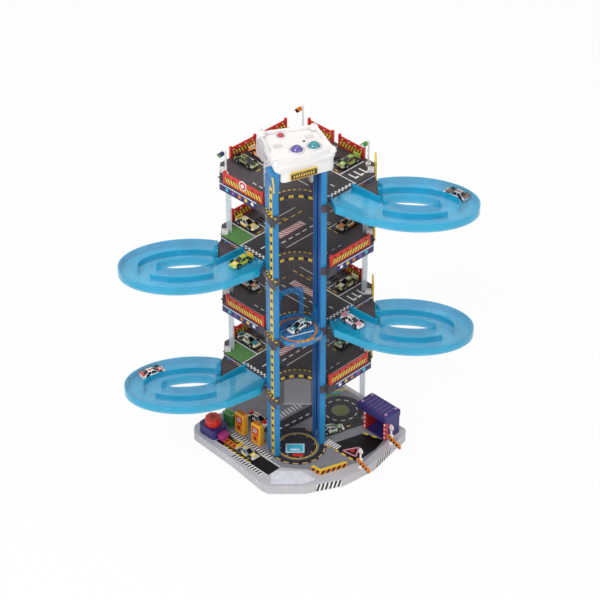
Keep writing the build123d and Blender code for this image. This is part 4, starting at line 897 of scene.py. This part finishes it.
block = Build("road_block_stripes")
for (xa, ya), (xb, yb) in (((23, -63), (38, -76)), ((38, -76), (83, -54))):
    d = Vector((xb - xa, yb - ya))
    at = wall((xa, ya, BASE_TOP), (d.x, d.y, 0))
    stripes(block, 0.5, d.length - 0.5, 0.8, 8.4, max(4, int(d.length / 5)), 4, (ORANGE, BLACK), at)
block.done("tower", "striped_abs")

launcher = Build("launcher_details")
launcher.disc(5.0, 52.95, 53.3, DARK_RED, place(LANE_START.x - 20 * S, LANE_START.y + 20 * S, 0), sides=8)
launcher.done("launch_key", "red_abs")

leaves = Build("hedge_leaves")
for i in range(70):
    x, y = random.uniform(-5.4, 5.4), random.uniform(-10.2, 10.2)
    r = random.uniform(1.0, 1.8)
    at = place(*HEDGE, BASE_TOP, BASE_TURN) @ Matrix.Translation((x, y, 25.0)) @ \
        Matrix.Rotation(random.uniform(0, 3), 4, "Z")
    leaves.loft([[(r * taper * math.cos(k * 1.26), r * taper * math.sin(k * 1.26), z) for k in range(5)]
                 for taper, z in ((1.0, -1.0), (0.8, 0.6), (0.2, 1.2))], LEAF, at)
leaves.done("tower", "green_abs")

# ------------------------------------------------------------------ stage, light, camera
FLOOR_HALF = 4                # metres
FLOOR_WHITE = 0.93            # how much of the floor the camera sees as plain white
WORLD_LIGHT = 0.62

floor_mesh = bpy.data.meshes.new("floor")
floor_mesh.from_pydata([(x * FLOOR_HALF, y * FLOOR_HALF, 0) for x, y in ((-1, -1), (1, -1), (1, 1), (-1, 1))],
                       [], [[0, 1, 2, 3]])
floor = bpy.data.objects.new("floor", floor_mesh)
bpy.context.scene.collection.objects.link(floor)
floor_mat = bpy.data.materials.new("floor")
floor_mat.use_nodes = True
nodes, links = floor_mat.node_tree.nodes, floor_mat.node_tree.links
nodes["Principled BSDF"].inputs["Base Color"].default_value = (0.9, 0.9, 0.9, 1)
nodes["Principled BSDF"].inputs["Roughness"].default_value = 0.9
glow = nodes.new("ShaderNodeEmission")
glow.inputs["Strength"].default_value = 1.0
ray = nodes.new("ShaderNodeLightPath")
any_ray = nodes.new("ShaderNodeMath")
any_ray.operation = "MAXIMUM"
share = nodes.new("ShaderNodeMath")
share.operation = "MULTIPLY"
share.inputs[1].default_value = FLOOR_WHITE
mix = nodes.new("ShaderNodeMixShader")
links.new(ray.outputs["Is Camera Ray"], any_ray.inputs[0])
links.new(ray.outputs["Is Transmission Ray"], any_ray.inputs[1])
links.new(any_ray.outputs[0], share.inputs[0])
links.new(share.outputs[0], mix.inputs["Fac"])
links.new(nodes["Principled BSDF"].outputs[0], mix.inputs[1])
links.new(glow.outputs[0], mix.inputs[2])
links.new(mix.outputs[0], nodes["Material Output"].inputs["Surface"])
floor_mesh.materials.append(floor_mat)

world = bpy.data.worlds.new("studio")
bpy.context.scene.world = world
world.use_nodes = True
nodes, links = world.node_tree.nodes, world.node_tree.links
nodes["Background"].inputs["Color"].default_value = (1, 1, 1, 1)
nodes["Background"].inputs["Strength"].default_value = WORLD_LIGHT
clear = nodes.new("ShaderNodeBackground")
clear.inputs["Color"].default_value = (1, 1, 1, 1)
clear.inputs["Strength"].default_value = 1.0
ray = nodes.new("ShaderNodeLightPath")
mix = nodes.new("ShaderNodeMixShader")
links.new(ray.outputs["Is Camera Ray"], mix.inputs["Fac"])
links.new(nodes["Background"].outputs[0], mix.inputs[1])
links.new(clear.outputs[0], mix.inputs[2])
links.new(mix.outputs[0], nodes["World Output"].inputs["Surface"])


def lamp(name, where, size, power):
    """A soft square lamp that points at the tower's middle."""
    data = bpy.data.lights.new(name, "AREA")
    data.shape = "SQUARE"
    data.size = size
    data.energy = power
    obj = bpy.data.objects.new(name, data)
    obj.location = where
    obj.rotation_euler = (Vector((0, 0, 0.3)) - Vector(where)).to_track_quat("-Z", "Y").to_euler()
    bpy.context.scene.collection.objects.link(obj)


lamp("key", (-1.2, -1.6, 2.2), 1.2, 34)
lamp("fill", (1.8, -1.4, 1.4), 1.4, 12)
lamp("top", (0, 0.4, 2.6), 1.4, 10)

AIM = Vector((4.3, -10.0, 332.0)) * MM
DISTANCE = 3.721
LENS = 139.14                 # fits the photograph's frame of 600 x 600
TILT = math.radians(36.0)
camera = bpy.data.cameras.new("camera")
camera.sensor_width = 36.0
camera.lens = LENS
camera_obj = bpy.data.objects.new("camera", camera)
camera_obj.location = AIM + Vector((0, -math.cos(TILT), math.sin(TILT))) * DISTANCE
camera_obj.rotation_euler = (AIM - camera_obj.location).to_track_quat("-Z", "Y").to_euler()
bpy.context.scene.collection.objects.link(camera_obj)
bpy.context.scene.camera = camera_obj
bpy.context.scene.view_settings.view_transform = "Standard"
